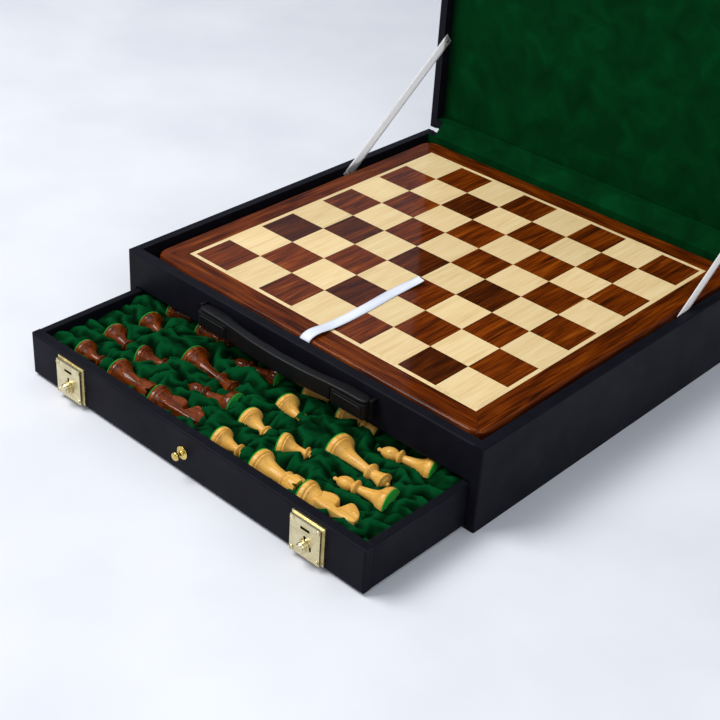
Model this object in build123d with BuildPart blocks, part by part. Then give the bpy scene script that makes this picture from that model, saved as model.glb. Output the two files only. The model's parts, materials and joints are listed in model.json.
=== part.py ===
from build123d import *
import math
import os

# Chess box: a leatherette case with a lift-out board under a hinged lid and a drawer of chessmen.
# Origin at the centre of the case's underside, X to the right, Y to the back, +Z up, millimetres.
# The lid stands open at a right angle and the drawer is pulled part of the way out.

# Chessboard
square = 45.0
squares_per_side = 8
glue_line = 0.1
inlay_width = 4.5
border_width = 25.5
board_thickness = 15.0
veneer_thickness = 3.0
board_corner_radius = 16.0
board_edge_radius = 4.0

# Pull ribbon, laid over the board's front border
ribbon_width = 12.0
ribbon_thickness = 0.6
ribbon_gap = 0.2
ribbon_place = 4.5
ribbon_reach = 158.0
ribbon_arch_height = 6.0
ribbon_arch_reach = 34.0
ribbon_arch_radius = 22.0
ribbon_bend_radius = 2.4

# Case
wall = 10.0
board_gap = 7.5
rim_above_board = 3.4
shelf_thickness = 6.0
kicker_width = 16.0
kicker_height = 14.9
base_thickness = 2.5
edge_radius = 1.8
wall_lining_thickness = 1.5

# Drawer
drawer_length = 430.0
drawer_height = 44.9
drawer_front_thickness = 10.0
drawer_wall = 8.0
drawer_bottom_thickness = 4.0
drawer_pull_out = 127.0
slide_clearance = 0.3
side_clearance = 0.5
top_clearance = 1.0

# Chessmen and the padded lining that they lie in
lining_drop = 13.0
men_drop = 1.2
pocket_clearance = 0.4
felt_thickness = 1.0
set_shift = 190.5
turned_sides = 8
king_height = 76.0
king_radius = 16.0
queen_height = 67.0
queen_radius = 15.5
bishop_height = 58.0
bishop_radius = 14.0
knight_height = 56.0
knight_radius = 14.5
rook_height = 50.0
rook_radius = 14.0
pawn_height = 41.0
pawn_radius = 12.5

# Lid
lid_depth = 20.0
lid_panel_thickness = 5.0
lid_lining_thickness = 2.0
rim_gap = 0.5

# Butt hinges on the back
hinge_place = 150.0
hinge_length = 51.0
knuckle_radius = 2.3
knuckle_gap = 0.2
hinge_pin_radius = 1.1
leaf_thickness = 1.2
leaf_height = 15.0
leaf_gap = 0.3
barrel_gap = 0.1
running_clearance = 0.05

# Velvet strip across the hinge
hinge_cloth_thickness = 0.8
hinge_cloth_gap = 0.6

# Webbing stays
stay_width = 13.0
stay_thickness = 0.8
stay_gap = 0.3
stay_foot_back = 79.0
stay_foot_drop = 9.5
stay_head_height = 110.0
stay_head_inset = 4.5
stay_tail = 5.0

# Handle
handle_drop = 8.0
handle_height = 18.0
handle_length = 222.0
finger_gap_length = 132.0
finger_gap_depth = 10.6
finger_gap_end_depth = 7.0
grip_bow = 19.5
grip_end_depth = 15.0
grip_edge_bevel = 1.4
paddle_thickness = 3.0
paddle_corner_radius = 4.0
handle_barrel_radius = 2.6
handle_barrel_length = 12.0
handle_pin_radius = 1.2
handle_pivot_depth = 3.4
handle_gap = 0.3
bracket_depth = 15.5
bracket_corner_radius = 4.0
bracket_rear_depth = 7.0
bracket_pad_height = 0.8
bracket_pad_margin = 2.6
bracket_screw_inset = 11.0
lug_thickness = 3.2
lug_depth = 8.0
lug_rise = 3.0

# Hasps on the lid's front wall
hasp_width = 18.0
hasp_leaf_height = 13.0
hasp_knuckle_radius = 2.2
hasp_pin_radius = 1.0
hasp_standoff = 4.6
hasp_rise = 2.4
arm_thickness = 1.2
arm_gap = 0.4
arm_tip = 5.0
tongue_width = 8.0
tongue_thickness = 2.0
tongue_tip_gap = 0.3

# Locks on the drawer front
lock_place = 155.4
lock_width = 37.6
lock_height = 39.6
lock_depth = 5.0
lock_skin = 1.0
lock_flange_width = 1.6
lock_flange_thickness = 1.2
lock_drop = 3.6
slot_drop = 9.0
slot_width = 10.5
slot_height = 2.8
keyhole_drop = 17.0
keyhole_radius = 1.6
keyhole_length = 5.0
keyhole_slit = 1.4
lock_knob_drop = 26.0
lock_knob_radius = 5.0
lock_knob_height = 5.0
lock_ring_radius = 6.3
lock_ring_height = 1.5
lock_shank_radius = 2.0
lock_travel = 5.5
lock_play = 0.2
bolt_thickness = 1.6
bolt_lift = 1.2
bolt_width = 5.0
bolt_inner = 5.0
nose_height = 2.0
nose_reach = 2.2

# Drawer knob
rosette_radius = 6.5
rosette_height = 1.5
knob_place_z = 25.0
knob_radius = 4.3
knob_height = 9.5
knob_sides = 16

# Screws and tacks
screw_head_radius = 2.2
screw_head_height = 0.9
screw_radius = 1.0
screw_length = 6.0
screw_sides = 6
screw_margin = 4.2
tack_hole_clearance = 0.2

overrun = 1.0

# Turned outlines: share of the height and share of the base radius, from the base to the tip
pawn_shares = (
    (0, 1), (0.12, 1), (0.30, 0.44), (0.56, 0.30), (0.61, 0.54), (0.68, 0.34), (0.82, 0.54), (1, 0.16),
)
rook_shares = (
    (0, 1), (0.11, 1), (0.17, 0.78), (0.30, 0.56), (0.62, 0.44), (0.68, 0.64), (0.76, 0.70), (1, 0.72),
)
bishop_shares = (
    (0, 1), (0.09, 1), (0.25, 0.46), (0.56, 0.28), (0.60, 0.54), (0.66, 0.32), (0.78, 0.46), (0.93, 0.20),
    (1, 0.10),
)
queen_shares = (
    (0, 1), (0.08, 1), (0.13, 0.76), (0.24, 0.46), (0.62, 0.28), (0.66, 0.56), (0.73, 0.32), (0.91, 0.54),
    (0.94, 0.36), (1, 0.12),
)
king_shares = (
    (0, 1), (0.08, 1), (0.13, 0.78), (0.24, 0.48), (0.60, 0.30), (0.64, 0.56), (0.71, 0.34), (0.86, 0.50),
    (0.90, 0.16),
)
knight_shares = ((0, 1), (0.10, 1), (0.16, 0.78), (0.28, 0.62))

# The drawer knob and the lock knobs: a neck, a rounded head, and a stepped button
knob_shares = ((0, 0.62), (0.40, 0.45), (0.52, 0.86), (0.66, 1), (0.84, 0.90), (1, 0.45))
lock_knob_shares = ((0, 1), (0.55, 1), (0.75, 0.86), (1, 0.80))

# The knight's head in outline, and its thickness as a share of the base radius
knight_head_shares = (
    (0.26, -0.50), (0.60, -0.68), (0.88, -0.56), (0.97, -0.20), (1, 0.42),
    (0.73, 0.50), (0.67, 0.10), (0.57, 0.66), (0.42, 0.68), (0.26, 0.62),
)
knight_head_thickness_share = 0.9

# The king's cross: thickness and span of its arms, and their levels
cross_thickness_share = 0.20
cross_span_share = 0.56
cross_foot_share = 0.88
cross_arm_share = 0.955
cross_arm_height_share = 0.035

# The rook's battlements: depth and width of the notches, and the bore at the top
notch_depth_share = 0.10
notch_width_share = 0.26
rook_bore_share = 0.46

# Where the men of one set lie: share of half the drawer's width, share of its length, turn in degrees
pawn_place_shares = (
    (0.077, 0.045, 2), (0.056, 0.141, -7), (0.086, 0.238, -13), (0.075, 0.318, 8),
    (0.287, 0.126, 18), (0.300, 0.312, 0), (0.080, 0.410, -3), (0.072, 0.505, 5),
)
rook_place_shares = ((0.303, 0.053, -1), (0.300, 0.500, 2))
knight_place_shares = ((0.578, 0.047, 8), (0.585, 0.497, -4))
bishop_place_shares = ((0.852, 0.153, 189), (0.837, 0.302, 192))
queen_place_shares = ((0.445, 0.214, -5),)
king_place_shares = ((0.400, 0.402, 3),)

# How wide a pocket is at the tip of a turned man, and how far its full width reaches
pocket_tip_share = 0.62
pocket_shoulder_share = 0.2

# Places that follow from the sizes above
board_side = squares_per_side * square + 2 * (inlay_width + border_width)
board_half = board_side / 2
field_half = squares_per_side * square / 2
inlay_half = field_half + inlay_width
well_half = board_half + board_gap
case_half = well_half + wall
drawer_floor = base_thickness + slide_clearance
drawer_top = drawer_floor + drawer_height
rail_bottom = drawer_top + top_clearance
shelf_bottom = rail_bottom + kicker_height
shelf_top = shelf_bottom + shelf_thickness
board_top = shelf_top + board_thickness
veneer_bottom = board_top - veneer_thickness
case_height = board_top + rim_above_board
drawer_half = well_half - side_clearance
drawer_face_y = -case_half - drawer_pull_out
drawer_inside_front = drawer_face_y + drawer_front_thickness
drawer_inside_back = drawer_face_y + drawer_length - drawer_wall
drawer_inside_length = drawer_inside_back - drawer_inside_front
drawer_inside_half = drawer_half - drawer_wall
drawer_inside_floor = drawer_floor + drawer_bottom_thickness
lining_top = drawer_top - lining_drop
men_top = drawer_top - men_drop
hinge_offset = knuckle_radius + barrel_gap
hinge_y = case_half + hinge_offset
hinge_z = case_height + rim_gap / 2
lid_rim_y = hinge_y + rim_gap / 2
lid_panel_y = lid_rim_y + lid_depth - lid_panel_thickness
lid_tray_depth = lid_panel_y - lid_rim_y
lid_foot_z = hinge_z + hinge_offset
lid_head_z = lid_foot_z + 2 * case_half
lid_inside_foot = lid_foot_z + wall
lid_inside_head = lid_head_z - wall
handle_top = case_height - handle_drop
handle_bottom = handle_top - handle_height
lock_top = drawer_top - lock_drop
lock_middle_z = lock_top - lock_height / 2
slot_z = lock_top - slot_drop
lock_knob_z = lock_top - lock_knob_drop

STANDING = (Align.CENTER, Align.MIN, Align.MIN)
FORWARD = (Align.CENTER, Align.MAX)
BACKWARD = (Align.CENTER, Align.MIN)
OUTWARD = (Align.MIN, Align.MIN)
SIDES = ((-1, "left"), (1, "right"))

os.makedirs("parts", exist_ok=True)


def keep(piece, name):
    piece.label = name
    export_step(piece, f"parts/{name}.step")


def screw(face, length):
    """A flat-headed screw whose head stands on the origin of a face."""
    with BuildPart() as fastener:
        with BuildSketch(face):
            RegularPolygon(screw_head_radius, screw_sides)
        extrude(amount=screw_head_height)
        with BuildSketch(face):
            RegularPolygon(screw_radius, screw_sides)
        extrude(amount=-length)
    return fastener.part


def screws(faces, length):
    """A group of the same screw, one on each face."""
    with BuildPart() as group:
        for face in faces:
            add(screw(face, length))
    return group.part


def turned(shares, height, radius, sides):
    """A turned body with flat sides, standing on the origin, through rings given as shares of its size."""
    with BuildPart() as body:
        for (low, low_radius), (high, high_radius) in zip(shares, shares[1:]):
            rise = (high - low) * height
            inset = abs(low_radius - high_radius) * radius * math.cos(math.pi / sides)
            flare = math.degrees(math.atan2(inset, rise))
            with BuildSketch(mode=Mode.PRIVATE) as wide_end:
                RegularPolygon(max(low_radius, high_radius) * radius, sides)
            length = extrude(wide_end.sketch, amount=rise, taper=flare, mode=Mode.PRIVATE)
            upright = Location((0, 0, low * height))
            turned_over = Location((0, 0, high * height), (180, 0, 0))
            with Locations(turned_over if low_radius < high_radius else upright):
                add(length)
    return body.part


# Case walls, base and shelf
for side, hand in SIDES:
    with BuildPart() as case_side:
        with Locations((side * (well_half + wall / 2), -case_half, 0)):
            Box(wall, 2 * case_half, case_height, align=STANDING)
        outer = case_side.faces().sort_by(lambda face: side * face.center().X)[-1]
        fillet(outer.edges().sort_by(Axis.Z)[1:], radius=edge_radius)
    keep(case_side.part, f"case_side_{hand}")

with BuildPart() as case_front_rail:
    with Locations((0, -case_half, rail_bottom)):
        Box(2 * well_half, wall, case_height - rail_bottom, align=STANDING)
    fillet(case_front_rail.faces().sort_by(Axis.Y)[0].edges().filter_by(Axis.X), radius=edge_radius)
keep(case_front_rail.part, "case_front_rail")

with BuildPart() as case_back:
    with Locations((0, well_half, 0)):
        Box(2 * well_half, wall, case_height, align=STANDING)
    fillet(case_back.faces().sort_by(Axis.Y)[-1].edges().sort_by(Axis.Z)[-1], radius=edge_radius)
keep(case_back.part, "case_back")

with BuildPart() as case_base:
    with Locations((0, -case_half, 0)):
        Box(2 * well_half, case_half + well_half, base_thickness, align=STANDING)
keep(case_base.part, "case_base")

with BuildPart() as board_shelf:
    with Locations((0, -well_half, shelf_bottom)):
        Box(2 * well_half, 2 * well_half, shelf_thickness, align=STANDING)
keep(board_shelf.part, "board_shelf")

with BuildPart() as drawer_kickers:
    for side, hand in SIDES:
        with Locations((side * (well_half - kicker_width / 2), -well_half, rail_bottom)):
            Box(kicker_width, 2 * well_half, kicker_height, align=STANDING)
keep(drawer_kickers.part, "drawer_kickers")

with BuildPart() as back_wall_lining:
    with Locations((0, well_half - wall_lining_thickness, shelf_top)):
        Box(2 * well_half, wall_lining_thickness, case_height - shelf_top, align=STANDING)
    top_edge = back_wall_lining.faces().sort_by(Axis.Y)[0].edges().sort_by(Axis.Z)[-1]
    fillet(top_edge, radius=wall_lining_thickness / 2)
keep(back_wall_lining.part, "back_wall_lining")


# Chessboard: squares and inlay line on a core, inside a mitred border
def squares(parity):
    """The squares of one colour, each a tile with a glue line round it."""
    first = square / 2 - field_half
    with BuildPart() as tiles:
        with BuildSketch(Plane.XY.offset(veneer_bottom)):
            for column in range(squares_per_side):
                for row in range(squares_per_side):
                    if (column + row) % 2 == parity:
                        with Locations((first + column * square, first + row * square)):
                            Rectangle(square - glue_line, square - glue_line)
        extrude(amount=veneer_thickness)
    return tiles.part


keep(squares(0), "dark_squares")
keep(squares(1), "light_squares")

with BuildPart() as inlay_line:
    with BuildSketch(Plane.XY.offset(veneer_bottom)):
        Rectangle(2 * inlay_half - glue_line, 2 * inlay_half - glue_line)
        Rectangle(2 * field_half + glue_line, 2 * field_half + glue_line, mode=Mode.SUBTRACT)
    extrude(amount=veneer_thickness)
keep(inlay_line.part, "inlay_line")

with BuildPart() as board_core:
    with BuildSketch(Plane.XY.offset(shelf_top)):
        Rectangle(2 * inlay_half - glue_line, 2 * inlay_half - glue_line)
    extrude(amount=board_thickness - veneer_thickness)
keep(board_core.part, "board_core")


def border_strip(turn):
    """One side of the border, cut to a mitre at both ends."""
    reach = board_half + overrun
    level = Plane.XY.offset(shelf_top)
    with BuildPart() as strip:
        with BuildSketch(level):
            RectangleRounded(board_side, board_side, board_corner_radius)
        extrude(amount=board_thickness)
        fillet(strip.faces().sort_by(Axis.Z)[-1].edges(), radius=board_edge_radius)
        with BuildSketch(level):
            Rectangle(2 * inlay_half, 2 * inlay_half)
        extrude(amount=board_thickness, mode=Mode.SUBTRACT)
        with BuildSketch(level.rotated((0, 0, turn))):
            Polygon((0, -glue_line), (reach, -reach - glue_line), (-reach, -reach - glue_line), align=None)
        extrude(amount=board_thickness, mode=Mode.INTERSECT)
    return strip.part


with BuildPart() as board_border:
    for quarter in range(4):
        add(border_strip(90 * quarter))
keep(board_border.part, "board_border")

# The ribbon lies on the board, arches over its front edge and is glued to that edge
ribbon_level = board_top + ribbon_gap + ribbon_thickness / 2
ribbon_down = -board_half - ribbon_gap - ribbon_thickness / 2
with BuildPart() as pull_ribbon:
    with BuildSketch(Plane.YZ.offset(ribbon_place)):
        with BuildLine():
            FilletPolyline(
                (ribbon_reach - board_half, ribbon_level),
                (ribbon_arch_reach - board_half, ribbon_level),
                (board_edge_radius - board_half, ribbon_level + ribbon_arch_height),
                (ribbon_down - board_edge_radius / 2, ribbon_level),
                (ribbon_down, veneer_bottom - veneer_thickness),
                (ribbon_down, shelf_top + veneer_thickness),
                radius=[ribbon_arch_radius, ribbon_bend_radius, ribbon_bend_radius, ribbon_bend_radius],
            )
        trace(line_width=ribbon_thickness)
    extrude(amount=ribbon_width / 2, both=True)
keep(pull_ribbon.part, "pull_ribbon")


# Lid: a shallow tray, lined with velvet
def lid_side(side):
    """One side wall of the lid, rounded on its outer edges."""
    with BuildPart() as panel:
        with Locations((side * (well_half + wall / 2), lid_rim_y, lid_foot_z)):
            Box(wall, lid_tray_depth, 2 * case_half, align=STANDING)
        outer = panel.faces().sort_by(lambda face: side * face.center().X)[-1]
        fillet(outer.edges().sort_by(Axis.Y)[:-1], radius=edge_radius)
    return panel.part


with BuildPart() as lid_sides:
    for side, hand in SIDES:
        add(lid_side(side))
keep(lid_sides.part, "lid_sides")

with BuildPart() as lid_panel:
    with Locations((0, lid_panel_y, lid_foot_z)):
        Box(2 * case_half, lid_panel_thickness, 2 * case_half, align=STANDING)
    fillet(lid_panel.faces().sort_by(Axis.Y)[-1].edges(), radius=edge_radius)
keep(lid_panel.part, "lid_panel")

with BuildPart() as lid_back_wall:
    with Locations((0, lid_rim_y, lid_foot_z)):
        Box(2 * well_half, lid_tray_depth, wall, align=STANDING)
    fillet(lid_back_wall.faces().sort_by(Axis.Y)[0].edges().sort_by(Axis.Z)[0], radius=edge_radius)
keep(lid_back_wall.part, "lid_back_wall")

with BuildPart() as lid_front_wall:
    with Locations((0, lid_rim_y, lid_inside_head)):
        Box(2 * well_half, lid_tray_depth, wall, align=STANDING)
    fillet(lid_front_wall.faces().sort_by(Axis.Y)[0].edges().sort_by(Axis.Z)[-1], radius=edge_radius)
keep(lid_front_wall.part, "lid_front_wall")

with BuildPart() as lid_lining:
    with Locations((0, lid_panel_y - lid_lining_thickness, lid_inside_foot)):
        Box(2 * well_half, lid_lining_thickness, lid_inside_head - lid_inside_foot, align=STANDING)
    with Locations((0, lid_rim_y, lid_inside_foot)):
        Box(2 * well_half, lid_tray_depth, wall_lining_thickness, align=STANDING)
keep(lid_lining.part, "lid_lining")

with BuildPart() as hinge_cloth:
    with BuildSketch(Plane.YZ):
        with BuildLine():
            Line(
                (well_half + hinge_cloth_gap, case_height + hinge_cloth_gap),
                (lid_rim_y - hinge_cloth_gap, lid_inside_foot),
            )
        trace(line_width=hinge_cloth_thickness)
    extrude(amount=well_half - wall, both=True)
keep(hinge_cloth.part, "hinge_cloth")


# Butt hinges
def hinge_leaf(axis, centres, bore):
    """A leaf seen along its pin: X runs down the leaf and Y towards the wall that it lies on."""
    start = knuckle_radius + leaf_gap
    with BuildPart() as leaf:
        with BuildSketch(axis):
            with Locations((start, hinge_offset - leaf_thickness)):
                Rectangle(leaf_height - start, leaf_thickness, align=OUTWARD)
        extrude(amount=hinge_length / 2, both=True)
        for centre in centres:
            with BuildSketch(axis.offset(centre)):
                Circle(knuckle_radius)
                with Locations((0, hinge_offset - leaf_thickness)):
                    Rectangle(start + leaf_thickness, leaf_thickness, align=OUTWARD)
            extrude(amount=knuckle_length / 2, both=True)
            if bore:
                with BuildSketch(axis.offset(centre)):
                    Circle(bore)
                extrude(amount=knuckle_length / 2, both=True, mode=Mode.SUBTRACT)
    return leaf.part


knuckle_pitch = hinge_length / 3
knuckle_length = knuckle_pitch - knuckle_gap
case_axes = [Plane((side * hinge_place, hinge_y, hinge_z), (0, 0, -1), (-1, 0, 0)) for side, hand in SIDES]
lid_axes = [Plane((side * hinge_place, hinge_y, hinge_z), (0, 1, 0), (1, 0, 0)) for side, hand in SIDES]

with BuildPart() as hinge_case_leaves:
    for axis in case_axes:
        add(hinge_leaf(axis, (-knuckle_pitch, knuckle_pitch), 0))
keep(hinge_case_leaves.part, "hinge_case_leaves")

with BuildPart() as hinge_lid_leaves:
    for axis in lid_axes:
        add(hinge_leaf(axis, (0,), hinge_pin_radius + running_clearance))
keep(hinge_lid_leaves.part, "hinge_lid_leaves")

with BuildPart() as hinge_pins:
    for axis in lid_axes:
        with BuildSketch(axis):
            Circle(hinge_pin_radius)
        extrude(amount=hinge_length / 2, both=True)
keep(hinge_pins.part, "hinge_pins")

# Webbing stays, one inside each side wall, with a tack through each end
stay_x = well_half - stay_gap - stay_thickness / 2
stay_foot = (stay_foot_back, case_height - stay_foot_drop)
stay_head = (hinge_y + stay_head_inset, hinge_z + stay_head_height)
stay_run = Vector(stay_head[0] - stay_foot[0], stay_head[1] - stay_foot[1]).normalized() * stay_tail
for side, hand in SIDES:
    with BuildPart() as stay:
        with BuildSketch(Plane.YZ.offset(side * stay_x)):
            with BuildLine():
                Line(
                    (stay_foot[0] - stay_run.X, stay_foot[1] - stay_run.Y),
                    (stay_head[0] + stay_run.X, stay_head[1] + stay_run.Y),
                )
            trace(line_width=stay_width)
            with Locations(stay_foot, stay_head):
                RegularPolygon(screw_radius + tack_hole_clearance, screw_sides, mode=Mode.SUBTRACT)
        extrude(amount=stay_thickness / 2, both=True)
    keep(stay.part, f"stay_{hand}")


def tack_faces(place):
    """The inner faces of both stays at one of their ends, facing away from the side walls."""
    faces = []
    for side, hand in SIDES:
        x = side * (stay_x - stay_thickness / 2)
        faces.append(Plane((x, place[0], place[1]), (0, 1, 0), (-side, 0, 0)))
    return faces


# Handle: two end brackets on the rail and a bowed grip that swings up from them
gap_half = finger_gap_length / 2
lug_outer = handle_length / 2
lug_inner = lug_outer - lug_thickness
paddle_outer = lug_inner - handle_gap
bracket_inner = gap_half + handle_gap
bracket_top = handle_top - paddle_thickness - handle_gap
bracket_length = lug_inner - bracket_inner
bracket_centre = bracket_inner + bracket_length / 2
bracket_middle_z = (handle_bottom + bracket_top) / 2
pivot_y = -case_half - handle_pivot_depth
pivot_z = handle_top - handle_barrel_radius
bracket_rear_top = pivot_z - handle_barrel_radius - handle_gap


def pivot(side, x):
    """The plane across the handle's pivot at a distance from the middle, facing the middle."""
    return Plane((side * x, pivot_y, pivot_z), (0, 1, 0), (-side, 0, 0))


def bracket(side):
    """An end block with a raised pad on its front and a lug for the pivot pin."""
    with BuildPart() as block:
        with BuildSketch(Plane.XY.offset(handle_bottom)):
            with Locations((side * bracket_centre, -case_half)):
                Rectangle(bracket_length, bracket_depth, align=FORWARD)
        extrude(amount=bracket_top - handle_bottom)
        front_corners = block.edges().filter_by(Axis.Z).group_by(Axis.Y)[0]
        fillet(front_corners, radius=bracket_corner_radius)
        with BuildSketch(Plane.XY.offset(bracket_rear_top)):
            with Locations((side * bracket_centre, -case_half)):
                Rectangle(bracket_length, bracket_rear_depth, align=FORWARD)
        extrude(amount=handle_height, mode=Mode.SUBTRACT)
        with BuildSketch(Plane.XY.offset(handle_bottom)):
            with Locations((side * (lug_inner + lug_thickness / 2), -case_half)):
                Rectangle(lug_thickness, lug_depth, align=FORWARD)
        extrude(amount=pivot_z + lug_rise - handle_bottom)
        with BuildSketch(Plane.XZ.offset(case_half + bracket_depth)):
            with Locations((side * bracket_centre, bracket_middle_z)):
                SlotOverall(
                    bracket_length - 2 * bracket_pad_margin,
                    bracket_top - handle_bottom - 2 * bracket_pad_margin,
                )
        extrude(amount=bracket_pad_height)
    return block.part


with BuildPart() as handle_brackets:
    for side, hand in SIDES:
        add(bracket(side))
keep(handle_brackets.part, "handle_brackets")

with BuildPart() as handle_pins:
    for side, hand in SIDES:
        with BuildSketch(pivot(side, lug_outer)):
            Circle(handle_pin_radius)
        extrude(amount=lug_thickness + handle_gap + handle_barrel_length)
keep(handle_pins.part, "handle_pins")

with BuildPart() as handle_grip:
    with BuildSketch(Plane.XY.offset(handle_bottom)):
        with BuildLine():
            front_arc = ThreePointArc(
                (-gap_half, -case_half - grip_end_depth),
                (0, -case_half - grip_bow),
                (gap_half, -case_half - grip_end_depth),
            )
            rear_arc = ThreePointArc(
                (-gap_half, -case_half - finger_gap_end_depth),
                (0, -case_half - finger_gap_depth),
                (gap_half, -case_half - finger_gap_end_depth),
            )
            Line(front_arc @ 0, rear_arc @ 0)
            Line(front_arc @ 1, rear_arc @ 1)
        make_face()
    extrude(amount=handle_height)
    chamfer(handle_grip.edges().filter_by(GeomType.CIRCLE), length=grip_edge_bevel)
    for side, hand in SIDES:
        with BuildSketch(Plane.XY.offset(handle_top - paddle_thickness)):
            with Locations((side * (gap_half - overrun), pivot_y)):
                Rectangle(
                    paddle_outer - gap_half + overrun,
                    grip_end_depth - grip_edge_bevel - handle_pivot_depth,
                    align=(Align.MIN if side > 0 else Align.MAX, Align.MAX),
                )
        extrude(amount=paddle_thickness)
        outer_edges = handle_grip.edges().filter_by(Axis.Z).sort_by(lambda edge: side * edge.center().X)[-2:]
        fillet(outer_edges.sort_by(Axis.Y)[0], radius=paddle_corner_radius)
        with BuildSketch(pivot(side, paddle_outer)):
            Circle(handle_barrel_radius)
        extrude(amount=handle_barrel_length)
        with BuildSketch(pivot(side, paddle_outer)):
            Circle(handle_pin_radius + running_clearance)
        extrude(amount=handle_barrel_length, mode=Mode.SUBTRACT)
keep(handle_grip.part, "handle_grip")

# Hasps, folded back over the lid's front wall
hasp_y = hinge_y + hasp_rise
hasp_z = lid_head_z + hasp_standoff
hasp_knuckle = hasp_width / 3 - knuckle_gap
tongue_reach = hinge_z + hasp_rise - slot_z
arm_reach = lock_depth + arm_gap
arm_underside = hasp_z - (arm_reach - hasp_standoff) - arm_thickness
arm_start = hasp_knuckle_radius + leaf_gap
notch_level = arm_reach - bolt_lift - bolt_thickness - lock_play
hasp_axes = [Plane((side * lock_place, hasp_y, hasp_z), (0, 1, 0), (1, 0, 0)) for side, hand in SIDES]


def hasp_leaf(axis):
    """The fixed leaf, seen along its pin: X runs up the lid's wall and Y away from it."""
    with BuildPart() as leaf:
        with BuildSketch(axis):
            with Locations((arm_start, -hasp_standoff)):
                Rectangle(hasp_leaf_height - arm_start, leaf_thickness, align=OUTWARD)
        extrude(amount=hasp_width / 2, both=True)
        for way in (-1, 1):
            with BuildSketch(axis.offset(way * hasp_width / 3)):
                Circle(hasp_knuckle_radius)
                with Locations((-leaf_thickness, -hasp_standoff)):
                    Rectangle(2 * leaf_thickness, hasp_standoff, align=OUTWARD)
                    Rectangle(arm_start + 2 * leaf_thickness, leaf_thickness, align=OUTWARD)
            extrude(amount=hasp_knuckle / 2, both=True)
    return leaf.part


with BuildPart() as hasp_leaves:
    for axis in hasp_axes:
        add(hasp_leaf(axis))
keep(hasp_leaves.part, "hasp_leaves")

with BuildPart() as hasp_pins:
    for axis in hasp_axes:
        with BuildSketch(axis):
            Circle(hasp_pin_radius)
        extrude(amount=hasp_width / 2, both=True)
keep(hasp_pins.part, "hasp_pins")

for side, hand in SIDES:
    axis = Plane((side * lock_place, hasp_y, hasp_z), (0, 1, 0), (1, 0, 0))
    arm_level = Plane.XY.offset(arm_underside)
    tongue_level = arm_level.offset(arm_thickness)
    with BuildPart() as hasp_arm:
        with BuildSketch(arm_level):
            with Locations((side * lock_place, hasp_y + arm_start)):
                Rectangle(hasp_width, tongue_reach + arm_tip - arm_start, align=BACKWARD)
        extrude(amount=arm_thickness)
        tip_corners = hasp_arm.edges().filter_by(Axis.Z).group_by(Axis.Y)[-1]
        fillet(tip_corners, radius=arm_tip)
        with BuildSketch(arm_level):
            with Locations((side * lock_place, hasp_y)):
                Rectangle(hasp_knuckle, arm_start + arm_thickness, align=BACKWARD)
        extrude(amount=arm_thickness)
        with BuildSketch(axis):
            Circle(hasp_knuckle_radius)
        extrude(amount=hasp_knuckle / 2, both=True)
        with BuildSketch(axis):
            Circle(hasp_pin_radius + running_clearance)
        extrude(amount=hasp_knuckle / 2, both=True, mode=Mode.SUBTRACT)
        with BuildSketch(tongue_level):
            with Locations((side * lock_place, hasp_y + tongue_reach)):
                Rectangle(tongue_width, tongue_thickness)
        extrude(amount=arm_reach - tongue_tip_gap)
        with BuildSketch(tongue_level.offset(notch_level)):
            with Locations((side * (lock_place + tongue_width / 2), hasp_y + tongue_reach)):
                Rectangle(2 * (nose_reach + lock_play), tongue_thickness)
        extrude(amount=bolt_thickness + 2 * lock_play, mode=Mode.SUBTRACT)
    keep(hasp_arm.part, f"hasp_arm_{hand}")

# Drawer box
with BuildPart() as drawer_front:
    with Locations((0, drawer_face_y, drawer_floor)):
        Box(2 * drawer_half, drawer_front_thickness, drawer_height, align=STANDING)
    fillet(drawer_front.faces().sort_by(Axis.Y)[0].edges(), radius=edge_radius)
keep(drawer_front.part, "drawer_front")

for side, hand in SIDES:
    with BuildPart() as drawer_side:
        with Locations((side * (drawer_half - drawer_wall / 2), drawer_inside_front, drawer_floor)):
            Box(drawer_wall, drawer_length - drawer_front_thickness, drawer_height, align=STANDING)
    keep(drawer_side.part, f"drawer_side_{hand}")

with BuildPart() as drawer_back:
    with Locations((0, drawer_inside_back, drawer_floor)):
        Box(2 * drawer_inside_half, drawer_wall, drawer_height, align=STANDING)
keep(drawer_back.part, "drawer_back")

with BuildPart() as drawer_bottom:
    with Locations((0, drawer_inside_front, drawer_floor)):
        Box(2 * drawer_inside_half, drawer_inside_length, drawer_bottom_thickness, align=STANDING)
keep(drawer_bottom.part, "drawer_bottom")


# Chessmen, each standing on the origin, with X to the side that is level when it lies down
pawn = turned(pawn_shares, pawn_height, pawn_radius, turned_sides)
bishop = turned(bishop_shares, bishop_height, bishop_radius, turned_sides)
queen = turned(queen_shares, queen_height, queen_radius, turned_sides)

with BuildPart() as rook:
    add(turned(rook_shares, rook_height, rook_radius, turned_sides))
    with BuildSketch(Plane.XY.offset((1 - notch_depth_share) * rook_height)):
        Rectangle(2 * rook_radius, notch_width_share * rook_radius)
        Rectangle(notch_width_share * rook_radius, 2 * rook_radius)
        RegularPolygon(rook_bore_share * rook_radius, turned_sides)
    extrude(amount=rook_height, mode=Mode.SUBTRACT)

horse = [(along * knight_height, across * knight_radius) for along, across in knight_head_shares]
with BuildPart() as knight:
    add(turned(knight_shares, knight_height, knight_radius, turned_sides))
    with BuildSketch(Plane((0, 0, 0), (0, 0, 1), (0, 1, 0))):
        Polygon(*horse, align=None)
    extrude(amount=knight_head_thickness_share * knight_radius / 2, both=True)

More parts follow.
